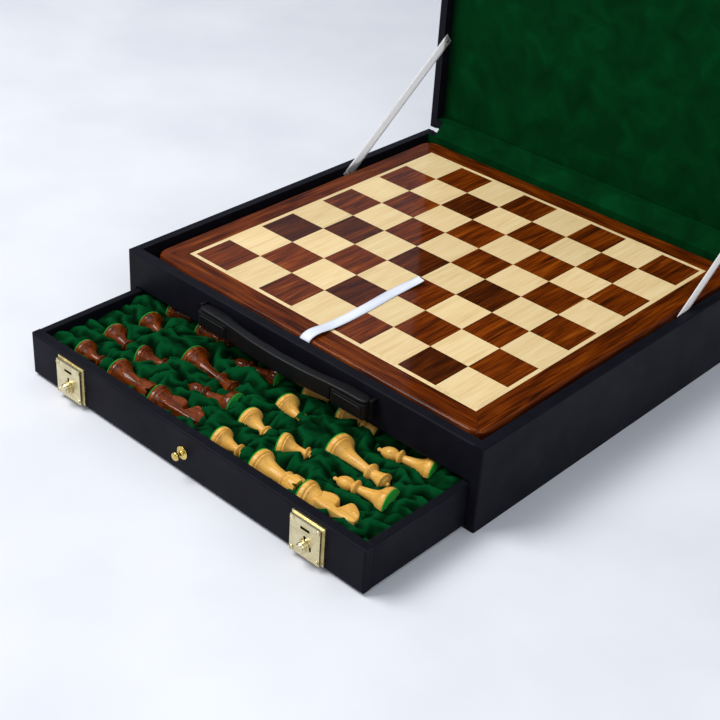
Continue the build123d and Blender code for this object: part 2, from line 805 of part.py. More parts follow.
cross_thickness = cross_thickness_share * king_radius
with BuildPart() as king:
    add(turned(king_shares, king_height, king_radius, turned_sides))
    with BuildSketch(Plane.XY.offset(cross_foot_share * king_height)):
        Rectangle(cross_thickness, cross_thickness)
    extrude(amount=(1 - cross_foot_share) * king_height)
    with BuildSketch(Plane.XY.offset((cross_arm_share - cross_arm_height_share / 2) * king_height)):
        Rectangle(cross_span_share * king_radius, cross_thickness)
    extrude(amount=cross_arm_height_share * king_height)


def lying(place, radius, shift):
    """The plane of a lying man's base, facing along the man, with X level and Y up."""
    across_share, along_share, turn = place
    x = across_share * drawer_inside_half + shift
    y = drawer_inside_front + along_share * drawer_inside_length
    run = (math.cos(math.radians(turn)), math.sin(math.radians(turn)), 0)
    return Plane((x, y, men_top - radius), (-run[1], run[0], 0), run)


men = (
    ("king", king.part, king_height, king_radius, pocket_tip_share, king_place_shares),
    ("queen", queen, queen_height, queen_radius, pocket_tip_share, queen_place_shares),
    ("bishops", bishop, bishop_height, bishop_radius, pocket_tip_share, bishop_place_shares),
    ("knights", knight.part, knight_height, knight_radius, 1, knight_place_shares),
    ("rooks", rook.part, rook_height, rook_radius, 1, rook_place_shares),
    ("pawns", pawn, pawn_height, pawn_radius, pocket_tip_share, pawn_place_shares),
)
sets = (("light", 0), ("dark", -set_shift))

for colour, shift in sets:
    for name, shape, height, radius, tip_share, places in men:
        with BuildPart() as group:
            for place in places:
                with Locations(lying(place, radius, shift)):
                    add(shape)
        keep(group.part, f"{colour}_{name}")

with BuildPart() as felt_pads:
    for colour, shift in sets:
        for name, shape, height, radius, tip_share, places in men:
            for place in places:
                with BuildSketch(lying(place, radius, shift)):
                    RegularPolygon(radius, turned_sides)
                extrude(amount=-felt_thickness)
keep(felt_pads.part, "felt_pads")

with BuildPart() as drawer_lining:
    with Locations((0, drawer_inside_front, drawer_inside_floor)):
        Box(2 * drawer_inside_half, drawer_inside_length, lining_top - drawer_inside_floor, align=STANDING)
    for colour, shift in sets:
        for name, shape, height, radius, tip_share, places in men:
            for place in places:
                base = lying(place, radius, shift)
                wide = radius + pocket_clearance
                narrow = tip_share * radius + pocket_clearance
                heel = -felt_thickness - pocket_clearance
                shoulder = pocket_shoulder_share * height
                tip = height + pocket_clearance
                floor = base.origin.Z - wide
                with BuildSketch(Plane((base.origin.X, base.origin.Y, floor), base.z_dir, (0, 0, 1))):
                    Polygon(
                        (heel, -wide), (shoulder, -wide), (tip, -narrow),
                        (tip, narrow), (shoulder, wide), (heel, wide), align=None,
                    )
                extrude(amount=lining_top - floor, mode=Mode.SUBTRACT)
keep(drawer_lining.part, "drawer_lining")


# Locks: a hollow cover, and a slide with a knob outside and a bolt inside
def lock_plate(side):
    """The cover, open at the back, with the hasp's slot, a keyhole and a slot for the knob."""
    face = Plane((side * lock_place, drawer_face_y, lock_middle_z), (1, 0, 0), (0, -1, 0))
    top = lock_height / 2
    cover_width = lock_width - 2 * lock_flange_width
    cover_height = lock_height - 2 * lock_flange_width
    shank_slot = 2 * (lock_shank_radius + lock_play)
    with BuildPart() as cover:
        with BuildSketch(face):
            Rectangle(lock_width, lock_height)
        extrude(amount=lock_flange_thickness)
        with BuildSketch(face):
            Rectangle(cover_width, cover_height)
        extrude(amount=lock_depth)
        with BuildSketch(face):
            Rectangle(cover_width - 2 * lock_skin, cover_height - 2 * lock_skin)
        extrude(amount=lock_depth - lock_skin, mode=Mode.SUBTRACT)
        with BuildSketch(face):
            with Locations((0, top - slot_drop)):
                Rectangle(slot_width, slot_height)
            with Locations((0, top - keyhole_drop)):
                RegularPolygon(keyhole_radius, turned_sides)
                Rectangle(keyhole_slit, keyhole_length, align=FORWARD)
            with Locations((side * lock_travel / 2, top - lock_knob_drop)):
                Rectangle(shank_slot + lock_travel, shank_slot)
        extrude(amount=lock_depth + overrun, mode=Mode.SUBTRACT)
    return cover.part


with BuildPart() as lock_plates:
    for side, hand in SIDES:
        add(lock_plate(side))
keep(lock_plates.part, "lock_plates")

bolt_outer = bolt_inner + bolt_width
nose_tip = tongue_width / 2 - nose_reach
for side, hand in SIDES:
    lock_face = Plane((side * lock_place, drawer_face_y, 0), (1, 0, 0), (0, -1, 0))
    with BuildPart() as lock_slider:
        with BuildSketch(lock_face.offset(bolt_lift)):
            with Locations((side * (bolt_outer - lock_shank_radius) / 2, lock_knob_z)):
                Rectangle(bolt_outer + lock_shank_radius, bolt_width)
            with Locations((side * (bolt_inner + bolt_width / 2), (slot_z + lock_knob_z) / 2)):
                Rectangle(bolt_width, slot_z - lock_knob_z + nose_height)
            with Locations((side * (nose_tip + bolt_outer) / 2, slot_z)):
                Rectangle(bolt_outer - nose_tip, nose_height)
        extrude(amount=bolt_thickness)
        with BuildSketch(lock_face.offset(bolt_lift)):
            with Locations((0, lock_knob_z)):
                RegularPolygon(lock_shank_radius, turned_sides)
        extrude(amount=lock_depth + lock_play + lock_ring_height - bolt_lift)
        with BuildSketch(lock_face.offset(lock_depth + lock_play)):
            with Locations((0, lock_knob_z)):
                RegularPolygon(lock_ring_radius, knob_sides)
        extrude(amount=lock_ring_height)
        button_y = drawer_face_y - lock_depth - lock_play - lock_ring_height
        with Locations(Plane((side * lock_place, button_y, lock_knob_z), (1, 0, 0), (0, -1, 0))):
            add(turned(lock_knob_shares, lock_knob_height, lock_knob_radius, knob_sides))
    keep(lock_slider.part, f"lock_slider_{hand}")

# Drawer knob on its rosette
knob_face = Plane((0, drawer_face_y, knob_place_z), (1, 0, 0), (0, -1, 0))
with BuildPart() as knob_rosette:
    with BuildSketch(knob_face):
        RegularPolygon(rosette_radius, knob_sides)
    extrude(amount=rosette_height)
keep(knob_rosette.part, "knob_rosette")

with BuildPart() as drawer_knob:
    with Locations(knob_face.offset(rosette_height)):
        add(turned(knob_shares, knob_height, knob_radius, knob_sides))
keep(drawer_knob.part, "drawer_knob")

# Screws and tacks
leaf_middle = (knuckle_radius + leaf_gap + leaf_height) / 2
hinge_rows = (-knuckle_pitch, 0, knuckle_pitch)
hinge_screw_places = [side * hinge_place + row for side, hand in SIDES for row in hinge_rows]
case_leaf_faces = [
    Plane((x, case_half + leaf_thickness, hinge_z - leaf_middle), (1, 0, 0), (0, 1, 0))
    for x in hinge_screw_places
]
lid_leaf_faces = [
    Plane((x, hinge_y + leaf_middle, lid_foot_z - leaf_thickness), (1, 0, 0), (0, 0, -1))
    for x in hinge_screw_places
]
bracket_screw_z = shelf_top + screw_head_radius + handle_gap
bracket_screw_places = [
    side * (bracket_centre + way * bracket_screw_inset) for side, hand in SIDES for way in (-1, 1)
]
bracket_faces = [
    Plane((x, -well_half, bracket_screw_z), (1, 0, 0), (0, 1, 0)) for x in bracket_screw_places
]
with BuildPart() as case_screws:
    add(screws(case_leaf_faces, screw_length))
    add(screws(bracket_faces, wall + screw_length))
    add(screws(tack_faces(stay_foot), screw_length))
keep(case_screws.part, "case_screws")

hasp_leaf_middle = (arm_start + hasp_leaf_height) / 2
hasp_screw_places = [side * lock_place + way * screw_margin for side, hand in SIDES for way in (-1, 1)]
hasp_leaf_faces = [
    Plane((x, hasp_y + hasp_leaf_middle, lid_head_z + leaf_thickness), (1, 0, 0), (0, 0, 1))
    for x in hasp_screw_places
]
with BuildPart() as lid_screws:
    add(screws(lid_leaf_faces, screw_length))
    add(screws(hasp_leaf_faces, screw_length))
    add(screws(tack_faces(stay_head), screw_length))
keep(lid_screws.part, "lid_screws")

lock_screw_across = lock_width / 2 - screw_margin
lock_screw_up = lock_height / 2 - screw_margin
lock_faces = [
    Plane((side * lock_place + across, drawer_face_y - lock_depth, lock_middle_z + up), (1, 0, 0), (0, -1, 0))
    for side, hand in SIDES
    for across in (-lock_screw_across, lock_screw_across)
    for up in (-lock_screw_up, lock_screw_up)
]
with BuildPart() as drawer_screws:
    add(screws(lock_faces, lock_depth + screw_length))
keep(drawer_screws.part, "drawer_screws")
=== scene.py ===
"""Looks for the chess box: leatherette case, velvet drawer, veneered board and turned chessmen."""
import json
import math
from functools import partial

import bmesh
import bpy
import numpy as np
from mathutils import Matrix, Vector, noise


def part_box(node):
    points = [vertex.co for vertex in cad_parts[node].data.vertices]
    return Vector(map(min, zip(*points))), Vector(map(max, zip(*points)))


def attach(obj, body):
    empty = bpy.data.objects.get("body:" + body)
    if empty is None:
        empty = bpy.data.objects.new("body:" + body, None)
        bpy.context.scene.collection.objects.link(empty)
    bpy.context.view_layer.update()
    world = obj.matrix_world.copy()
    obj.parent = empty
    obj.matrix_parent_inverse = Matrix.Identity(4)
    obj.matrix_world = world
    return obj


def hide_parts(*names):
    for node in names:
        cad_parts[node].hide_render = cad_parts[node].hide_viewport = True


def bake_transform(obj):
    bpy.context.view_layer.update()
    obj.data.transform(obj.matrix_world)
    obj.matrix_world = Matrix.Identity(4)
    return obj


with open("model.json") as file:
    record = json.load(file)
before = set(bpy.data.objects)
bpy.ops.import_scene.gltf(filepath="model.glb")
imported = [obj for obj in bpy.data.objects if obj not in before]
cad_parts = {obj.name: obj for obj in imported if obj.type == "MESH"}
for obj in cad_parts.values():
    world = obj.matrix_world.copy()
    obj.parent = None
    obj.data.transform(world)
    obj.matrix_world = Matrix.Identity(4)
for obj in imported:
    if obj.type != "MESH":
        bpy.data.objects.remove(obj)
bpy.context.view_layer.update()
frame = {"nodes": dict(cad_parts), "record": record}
nodes = frame["nodes"]

# Camera, fitted to the photograph's frame
IMAGE_SIDE = 720
FOCAL_PIXELS = 1447.0
SENSOR_WIDTH = 36.0
VIEW_AZIMUTH = 41.157
VIEW_ELEVATION = 32.822
VIEW_ROLL = 3.795
VIEW_DISTANCE = 1.2942
VIEW_TARGET = Vector((0.06275, -0.19976, 0.0846))


def hundredths(*pairs):
    """An outline given in hundredths."""
    return np.array(pairs) / 100


# Chessmen: share of the height and share of the base radius, from the base to the tip
PAWN_SHARES = hundredths(
    (0, 95), (2, 100), (9, 100), (11, 95), (12, 90), (14.5, 92), (16, 86), (21, 68), (28, 51), (38, 39),
    (50, 31), (56, 30), (57.5, 40), (59.5, 52), (61.5, 54), (63, 50), (64.5, 38), (66.5, 31), (69, 36),
    (73, 49), (79, 56), (85, 56), (91, 48), (96, 33), (99, 14), (100, 0),
)
ROOK_SHARES = hundredths(
    (0, 95), (2, 100), (8, 100), (10, 96), (11.5, 88), (14, 90), (15.5, 84), (19, 74), (26, 62), (36, 53),
    (50, 47), (61, 45), (63.5, 47), (65, 60), (67.5, 65), (69.5, 61), (71.5, 57), (76, 61), (80, 70),
    (83, 72), (99, 72), (100, 70), (100, 50), (99, 47), (92, 46), (91.5, 0),
)
BISHOP_SHARES = hundredths(
    (0, 95), (1.5, 100), (7, 100), (8.5, 96), (10, 89), (12, 91), (13.5, 84), (18, 66), (24, 49),
    (33, 38), (45, 31), (54, 28), (55.5, 40), (57.5, 52), (59.5, 54), (61, 49), (62.5, 37), (64.5, 31),
    (66, 34), (71, 44), (77, 46), (83, 41), (89, 28), (92.5, 15), (93.5, 12), (95, 13), (97, 14), (99, 9),
    (100, 0),
)
QUEEN_SHARES = hundredths(
    (0, 95), (1.5, 100), (6.5, 100), (8, 96), (9, 90), (11, 92), (12.5, 84), (16, 68), (22, 50), (32, 39),
    (46, 32), (59, 28), (61, 30), (62.5, 44), (64.5, 55), (66.5, 56), (68, 50), (70, 40), (71.5, 33),
    (73.5, 32), (80, 38), (86, 46), (90.5, 54), (92, 53), (92.5, 45), (93.5, 36), (95, 27), (95.8, 14),
    (96.5, 12), (98, 13), (99.3, 9), (100, 0),
)
KING_SHARES = hundredths(
    (0, 95), (1.5, 100), (6, 100), (7.5, 96), (8.5, 90), (10.5, 92), (12, 84), (16, 68), (22, 51),
    (31, 41), (45, 34), (57.5, 30), (59.5, 32), (61, 46), (63, 55), (65, 56), (66.5, 50), (68.5, 40),
    (70, 34), (72, 34), (78, 40), (83, 47), (86, 50), (87.2, 46), (88.5, 30), (90, 16), (90.5, 0),
)
KNIGHT_SHARES = hundredths(
    (0, 95), (2, 100), (7.5, 100), (9, 96), (10.5, 88), (13, 90), (14.5, 84), (18, 74), (24, 66),
    (29, 60), (31, 40), (31, 0),
)
# The knight's head in outline: share of the height, share of the base radius towards its face
KNIGHT_HEAD_SHARES = hundredths(
    (24, -52), (40, -60), (60, -62), (80, -60), (93, -54), (99, -42), (100, -20), (99, 10), (95, 34),
    (88, 58), (80, 78), (74.5, 82), (70, 70), (67.2, 40), (64.5, 8), (61.5, -14), (58.8, 0), (57.5, 32),
    (54, 60), (46, 74), (36, 72), (28, 60), (24, 54),
)
KNIGHT_HEAD_THICKNESS = 1.1
KNIGHT_HEAD_ROUNDING = 0.34
KNIGHT_HEAD_STEPS = 4
# How thick the head is at each share of the height, and the eye and the mouth cut into it
KNIGHT_NARROWING = ((0.3, 0.56, 0.70, 1), (1, 0.96, 0.80, 0.58))
KNIGHT_MARKS = ((0.86, 0.12, 0.028), (0.74, 0.60, 0.018))
KNIGHT_MARK_STRETCH = 2.4
KNIGHT_MARK_DEPTH = 0.0009
KNIGHT_VOXEL = 0.0005
# Half of a lying knight's width, which the velvet goes round
KNIGHT_GIRTHS = np.vstack([KNIGHT_SHARES[:-3], ((0.62, 0.62), (0.97, 0.5))])
# The king's cross: half of its thickness and its reach in radii, its foot and its arms in heights
CROSS_HALF = 0.10
CROSS_REACH = 0.27
CROSS_FOOT = 0.89
CROSS_ARMS = (0.935, 0.972)
CROSS_VOXEL = 0.0004
ROOK_NOTCHES = 6
ROOK_NOTCH_DEGREES = 14
ROOK_NOTCH_FLOOR = 0.92
ROOK_NOTCH_TOP = 0.93
ROOK_RIM_INSIDE = 0.3
TURNED_SEGMENTS = 40
OUTLINE_STEPS = 3
GRAIN_SHIFT = 3
FELT_SHARES = ((0, 0.97), (0.3, 1), (0.7, 1), (1, 0.97), (1, 0))

# Velvet in the drawer: its grid, its levels, and how the men press it
PAD_STEP = 0.0019
PAD_MARGIN = 0.0004
PAD_CLEARANCE = 0.002
PAD_WALL_LEVEL = 0.0395
PAD_FREE_LEVEL = 0.0430
PAD_WALL_SLOPE = 0.03
PAD_WALL_HOLD = 0.001
PAD_PRESS = 0.0012
PAD_PRESS_SLOPE = 1.5
PAD_MEETING_SHARE = 0.42
PAD_SHOULDER = 0.012
LEAST_GIRTH_SHARE = 0.3
BASE_OVERLAP = 0.001
# Painted shade on the drawer's velvet: the relief from a crease to a fold, and the rounds of blur that
# give each point's surroundings
FOLD_SHADE_RELIEF = 0.0026
FOLD_SHADE_BLUR_ROUNDS = 10
# Its folds: pleats round each man and along each wall, bent and varied by soft noise
FOLDS_ROUND_A_MAN = 6
FOLD_SHIFT = 0.37
FOLD_HEIGHT = 0.0085
FOLD_MIDDLE = 0.6
FOLD_DROP_SHARE = 0.14
FOLD_REACH = 0.0045
WALL_FOLD = 0.024
BEND = 0.9
BROAD_BEND, FINE_BEND, FINE_BEND_PARTS = (26, 2.5), (70, 3.5), 6
STRENGTH_NOISE = (24, 7.5)
STRENGTH_MIDDLE, STRENGTH_SPREAD, STRENGTH_RANGE = 0.75, 1.2, (0.25, 1.25)
TINY_WEIGHT = 1e-9
NOT_PRESSED = 1.0
# The cloth is settled at ten times its size, which suits Blender's solver
CLOTH_FRAMES = 10
CLOTH_SCALE = 10
CLOTH_SETTINGS = {
    "quality": 6, "mass": 0.3, "tension_stiffness": 20, "compression_stiffness": 20, "shear_stiffness": 8,
    "bending_stiffness": 0.1, "shrink_min": -0.03, "vertex_group_mass": "held",
}
# The share of each pawn that is bare: the velvet is drawn over the rest of it
PAWN_BARE_SHARES = (0.70, 1, 0.58)

# Ribbon, as places from the top of the board's front edge and from its loose end, and stays
RIBBON_THICKNESS = 0.0004
RIBBON_STEPS = 8
BAND_CELLS = 4
RIBBON_OVER_BOARD = (
    (0, 0, -0.006), (0, 0.0006, -0.0012), (0.0002, 0.005, 0.0022), (0.0006, 0.014, 0.0034),
    (0.001, 0.030, 0.0016), (0.0012, 0.052, 0.0007), (0.0004, 0.085, 0.0006), (-0.0012, 0.115, 0.0007),
)
RIBBON_LOOSE_END = ((-0.001, -0.020, 0.0013), (0.001, -0.007, 0.0030), (0.0022, -0.001, 0.0046))
RIBBON_SLANT, RIBBON_SLANT_RUN = -0.0045, 0.045
RIBBON_TILT, RIBBON_TILT_RUN = 0.0016, 0.03
STAY_WIDTH = 0.013
STAY_ROWS = 48

# Velvet on the lid and the back wall
PANEL_CELLS = 64
STRIP_CELLS = 6
BRIDGE_CELLS = 12
WAVE_SCALE = 14
WAVE_FADE = 0.02
LID_WAVE, LEDGE_WAVE, WALL_WAVE = 0.0012, 0.0004, 0.0003
LID_VELVET_BACK = 0.002
LID_VELVET_FOOT = 0.0015
LEDGE_LIFT = 0.0012

# The handle in plan, as half of an outline from its middle to its end and back
GRIP_FRONT_SHARES = hundredths(
    (0, 0), (31, 7), (62, 24.5), (80, 30), (93, 31.5), (98.5, 40), (100, 62),
)
GRIP_REAR_SHARES = hundredths(
    (98.5, 88), (94, 96.5), (84, 97), (72, 95.5), (65, 88), (58, 74), (44, 60), (22, 51), (0, 48.5),
)
GRIP_STEPS = 5
GRIP_PLATE = 0.0036
GRIP_ROUND = 0.0014
GRIP_BODY_SHARE = 0.66
GRIP_REAR_INSET = 0.03
GRIP_VOXEL = 0.0007

# Meshes: points this near are one point, and the angles that count as flat, sharp and smooth
WELD = 1e-6
TOUCHING = 1e-5
FLAT_DEGREES, SHARP_DEGREES, EASED_DEGREES = 2, 30, 50
SMOOTH_ALL = 180

# Small hardware: eased edges, turned brass and slotted screw heads
EDGE_SOFTENING, EDGE_STEPS = 0.0011, 3
HASP_SOFTENING, HASP_STEPS = 0.000225, 2
KNOB_SHARES = hundredths(
    (0, 62), (6, 62), (14, 50), (30, 44), (42, 47), (48, 66), (54, 86), (62, 98), (72, 100), (82, 94),
    (91, 76), (97, 42), (100, 0),
)
ROSETTE_SHARES = hundredths(
    (0, 98), (15, 100), (60, 100), (80, 97), (95, 88), (100, 78), (94, 72), (92, 40), (92, 0),
)
LOCK_KNOB_SHARES = hundredths(
    (0, 128), (6, 130), (20, 130), (25, 127), (26, 104), (30, 103), (64, 103), (70, 100), (78, 94),
    (83, 90), (94, 87), (100, 81), (100, 50), (99.5, 0),
)
FACING_FRONT = np.array(((1, 0, 0), (0, 0, 1), (0, -1, 0)), float)
KNOB_COVER = 0.00008
LOCK_PLAY = 0.0002
LOCK_RING_RADIUS = 0.0063
LOCK_KNOB_RADIUS = 0.005
SLOT_SHARES = (-1, -0.85, -0.6, -0.2, -0.17, 0.17, 0.2, 0.6, 0.85, 1)
SLOT_HALF = 0.18
SLOT_FLOOR = 0.45
HEAD_FALL = 0.35
HEAD_COVER = 1.04
HEAD_RISE = 1.5
HEAD_WIDEST = 0.9
HEAD_TURN = 0.9

# Stage
FLOOR_FRONT, FLOOR_DEPTH, FLOOR_HALF_WIDTH = -6.0, 2.6, 12.0
WALL_BEND, WALL_RISE, WALL_STEPS = 1.2, 5.0, 24

# Shaders: the node for sums on places, and the ways that fibres and lines lie
VECTOR_MATH = "ShaderNodeVectorMath"
EVEN, ALONG_X, ALONG_Y, ALONG_RIBBON = (1, 1, 1), (0.06, 1, 1), (1, 0.08, 1), (1, 0.15, 1)
BROAD_GRAIN, FINE_GRAIN = (1, 0.11, 1), (1, 0.035, 1)
BROAD_TURNED, FINE_TURNED = (1, 1, 0.12), (1, 1, 0.05)


def linear(red, green, blue):
    """A colour given in display values from 0 to 255, as linear light."""
    shares = (red / 255, green / 255, blue / 255)
    return tuple(s / 12.92 if s <= 0.04045 else ((s + 0.055) / 1.055) ** 2.4 for s in shares)


def sockets(look):
    """The sockets of a material's main shader."""
    return look.node_tree.nodes["Principled BSDF"].inputs


def shader(name, values):
    """A new material, with constant values set on its main shader's own sockets."""
    look = bpy.data.materials.new(name)
    look.use_nodes = True
    for socket, value in values.items():
        sockets(look)[socket].default_value = value
    return look


def put(look, kind, inputs, **settings):
    """A new node with its settings, constants and links."""
    node = look.node_tree.nodes.new(kind)
    for name, value in settings.items():
        setattr(node, name, value)
    for socket, value in inputs.items():
        if isinstance(value, bpy.types.NodeSocket):
            look.node_tree.links.new(value, node.inputs[socket])
        else:
            node.inputs[socket].default_value = value
    return node


def wire(look, value, socket):
    """Leads a value to a socket of the main shader."""
    look.node_tree.links.new(value, sockets(look)[socket])


def place(look):
    """The place on the object, in metres in the part's own frame."""
    return put(look, "ShaderNodeTexCoord", {}).outputs["Object"]


def figure(look, first, operation, second, kind="ShaderNodeMath"):
    """One sum on two values, or on two places."""
    return put(look, kind, {0: first, 1: second}, operation=operation).outputs[0]


def speckle(look, scale, detail=3.0, distortion=0.0, lay=EVEN, spot=None):
    """Soft noise from 0 to 1, drawn out along the axes whose lay is small."""
    vector = figure(look, spot or place(look), "MULTIPLY", lay, VECTOR_MATH)
    inputs = {"Vector": vector, "Scale": scale, "Detail": detail, "Distortion": distortion}
    return put(look, "ShaderNodeTexNoise", inputs).outputs["Fac"]


def mixed(look, first, first_share, second, second_share):
    """The sum of a share of each of two values."""
    part = figure(look, first, "MULTIPLY", first_share)
    return figure(look, part, "ADD", figure(look, second, "MULTIPLY", second_share))


def ramp(look, factor, stops):
    """A run of colours, each at its place from 0 to 1."""
    node = put(look, "ShaderNodeValToRGB", {"Fac": factor})
    elements = node.color_ramp.elements
    elements[0].position, elements[0].color = stops[0][0], (*stops[0][1], 1)
    elements[1].position, elements[1].color = stops[-1][0], (*stops[-1][1], 1)
    for position, colour in stops[1:-1]:
        elements.new(position).color = (*colour, 1)
    return node.outputs["Color"]


def colours(look, factor, stops, shade=1):
    """A run of colours given in display values, darkened to a share of their light."""
    return ramp(look, factor, [(spot, [shade * c for c in linear(*colour)]) for spot, colour in stops])


def greys(look, factor, stops):
    """A run of greys."""
    return ramp(look, factor, [(position, (grey,) * 3) for position, grey in stops])


def paint(look, factor, stops, shade=1):
    """The shader's colour, from a run of colours."""
    wire(look, colours(look, factor, stops, shade), "Base Color")


def roughen(look, factor, low, high):
    """The shader's roughness, from one value to another."""
    wire(look, greys(look, factor, [(0.3, low), (0.7, high)]), "Roughness")


def bump(look, height, distance, strength=1.0):
    """Relief of a given depth in metres."""
    node = put(look, "ShaderNodeBump", {"Height": height, "Distance": distance, "Strength": strength})
    wire(look, node.outputs["Normal"], "Normal")


def leatherette_material():
    look = shader("leatherette", {"Specular IOR Level": 0.06})
    paint(look, speckle(look, 60.0, 4.0), [(0.3, (15, 15, 22)), (0.7, (20, 20, 28))])
    pebbles = {"Vector": place(look), "Scale": 1300.0}
    grain = put(look, "ShaderNodeTexVoronoi", pebbles, feature="SMOOTH_F1")
    pores = speckle(look, 2600.0, 2.0)
    bump(look, mixed(look, grain.outputs["Distance"], 1, pores, 0.4), 0.00016, 0.55)
    roughen(look, speckle(look, 24.0, 5.0), 0.44, 0.58)
    return look


def fibrous(name, values, lay, speckles, stops, relief):
    """Bare wood or felt, with fibres that lie one way."""
    look = shader(name, values)
    fibre = speckle(look, *speckles, lay=lay)
    paint(look, fibre, stops)
    if relief:
        bump(look, fibre, relief)
    return look


def velvet_material(name, painted_fold_shade=None):
    """Velvet; given an attribute from 0 to 1, it has painted shade in its creases and painted light on
    its folds.
    """
    values = {"Roughness": 0.9, "Sheen Weight": 0.22, "Sheen Roughness": 0.4, "Specular IOR Level": 0.03}
    look = shader(name, {**values, "Sheen Tint": (*linear(10, 150, 75), 1)})
    tone_and_painted_shade = speckle(look, 34.0, 4.0, 0.8)
    stops = [(0.25, (0, 36, 12)), (0.55, (0, 48, 18)), (0.8, (0, 60, 25))]
    # Painted shade in the creases and painted light on the folds, from the given attribute
    if painted_fold_shade:
        kept = put(look, "ShaderNodeAttribute", {}, attribute_name=painted_fold_shade).outputs["Fac"]
        tone_and_painted_shade = mixed(look, tone_and_painted_shade, 0.3, kept, 0.7)
        stops = [(0.12, (0, 9, 1)), (0.5, (0, 38, 14)), (0.88, (3, 68, 32))]
    paint(look, tone_and_painted_shade, stops)
    bump(look, speckle(look, 2400.0, 2.0), 0.00025, 0.6)
    return look


def satin_material(name, dull, bright, through):
    """White cloth, which lets a share of the light through."""
    values = {"Roughness": 0.42, "Sheen Weight": 0.25, "Sheen Roughness": 0.3, "Specular IOR Level": 0.4}
    glow = {"Subsurface Weight": through, "Subsurface Radius": (1, 1, 1), "Subsurface Scale": 0.004}
    look = shader(name, {**values, **glow})
    paint(look, speckle(look, 160.0, lay=ALONG_RIBBON), [(0.3, dull), (0.7, bright)])
    weave = {"Vector": place(look), "Scale": 420.0, "Distortion": 0.6}
    ribs = put(look, "ShaderNodeTexWave", weave, bands_direction="Y")
    bump(look, ribs.outputs["Fac"], 0.00006, 0.5)
    return look


def plastic_material():
    look = shader("handle_plastic", {"Specular IOR Level": 0.26})
    paint(look, speckle(look, 90.0), [(0.3, (7, 7, 10)), (0.7, (11, 11, 15))])
    bump(look, speckle(look, 1900.0), 0.00008, 0.6)
    roughen(look, speckle(look, 30.0, 4.0), 0.36, 0.48)
    return look


def brushed_metal(name, dark, bright, rough, lay):
    """Metal with fine lines along one direction."""
    look = shader(name, {"Metallic": 1.0})
    lines = speckle(look, 900.0, 4.0, lay=lay)
    tarnish = speckle(look, 90.0, 4.0)
    paint(look, mixed(look, lines, 0.4, tarnish, 0.6), [(0.3, dark), (0.7, bright)])
    roughen(look, lines, rough * 0.8, rough * 1.25)
    bump(look, lines, 0.000006, 0.5)
    return look


def lacquer(name, values):
    """A varnished wood: a shader with a clear coat."""
    coat = {"Roughness": 0.6, "Coat Weight": 0.42, "Coat Roughness": 0.07, "Specular IOR Level": 0.04}
    return shader(name, {**coat, **values})


def grain_streaks(look, spot):
    """Streaks along Y: broad bands with fine lines in them, from 0 to 1."""
    broad = speckle(look, 130.0, 3.0, 0.7, BROAD_GRAIN, spot)
    fine = speckle(look, 560.0, 4.0, 0.4, FINE_GRAIN, spot)
    return mixed(look, broad, 0.5, fine, 0.5)


def square_material(name, stops, shades, relief, strength):
    """Varnished veneer whose grain and shade change by chance from square to square."""
    look = lacquer(name, {})
    spot = place(look)
    share = figure(look, spot, "DIVIDE", (square_side, square_side, 1), VECTOR_MATH)
    cell = figure(look, share, "FLOOR", (0, 0, 0), VECTOR_MATH)
    chance = put(look, "ShaderNodeTexWhiteNoise", {"Vector": cell}, noise_dimensions="3D").outputs
    streaks = grain_streaks(look, figure(look, spot, "ADD", chance["Color"], VECTOR_MATH))
    layers = {"Factor": 1, "A": colours(look, streaks, stops), "B": greys(look, chance["Value"], shades)}
    shaded = put(look, "ShaderNodeMix", layers, data_type="RGBA", blend_type="MULTIPLY")
    wire(look, shaded.outputs["Result"], "Base Color")
    bump(look, streaks, relief, strength)
    return look


def border_material():
    """Varnished veneer whose grain runs along each of the four strips."""
    look = lacquer("dark_veneer_border", {"Coat Weight": 0.22})
    spot = place(look)
    parts = put(look, "ShaderNodeSeparateXYZ", {"Vector": spot}).outputs
    across = figure(look, parts["X"], "ABSOLUTE", 0)
    along = figure(look, parts["Y"], "ABSOLUTE", 0)
    on_side = figure(look, across, "GREATER_THAN", along)
    swapped = {"X": parts["Y"], "Y": parts["X"], "Z": parts["Z"]}
    turned = put(look, "ShaderNodeCombineXYZ", swapped).outputs[0]
    choices = {"Factor": on_side, "A": turned, "B": spot}
    choice = put(look, "ShaderNodeMix", choices, data_type="VECTOR")
    streaks = grain_streaks(look, choice.outputs["Result"])
    paint(look, streaks, ROSEWOOD_STOPS, BORDER_SHADE)
    bump(look, streaks, 0.00003, 0.5)
    return look


def men_material(name, stops, values):
    """Turned wood whose grain runs along each man, from the place kept with its points."""
    look = lacquer(name, values)
    kept = put(look, "ShaderNodeAttribute", {}, attribute_name="grain").outputs["Vector"]
    broad = speckle(look, 210.0, 3.0, 0.8, BROAD_TURNED, kept)
    fine = speckle(look, 1200.0, lay=FINE_TURNED, spot=kept)
    paint(look, mixed(look, broad, 0.6, fine, 0.4), stops)
    bump(look, fine, 0.00002, 0.5)
    return look


ROSEWOOD_STOPS = (
    (0.32, (38, 10, 0)), (0.41, (72, 24, 0)), (0.50, (103, 40, 0)),
    (0.59, (127, 55, 3)), (0.70, (156, 80, 13)),
)
ROSEWOOD_SHADES = ((0, 0.34), (0.06, 0.5), (0.14, 0.8), (1, 0.98))
BORDER_SHADE = 0.72
MAPLE_STOPS = ((0.3, (220, 190, 136)), (0.5, (234, 207, 155)), (0.72, (242, 220, 172)))
MAPLE_SHADES = ((0, 0.90), (1, 1.0))
BOXWOOD_STOPS = ((0.3, (196, 136, 52)), (0.5, (222, 168, 78)), (0.7, (236, 190, 104)))
RED_WOOD_STOPS = ((0.36, (36, 12, 2)), (0.47, (94, 38, 6)), (0.64, (138, 64, 16)))
CARCASS_STOPS = ((0.3, (16, 15, 15)), (0.75, (34, 31, 29)))
CORE_STOPS = ((0.3, (160, 122, 78)), (0.7, (196, 158, 108)))
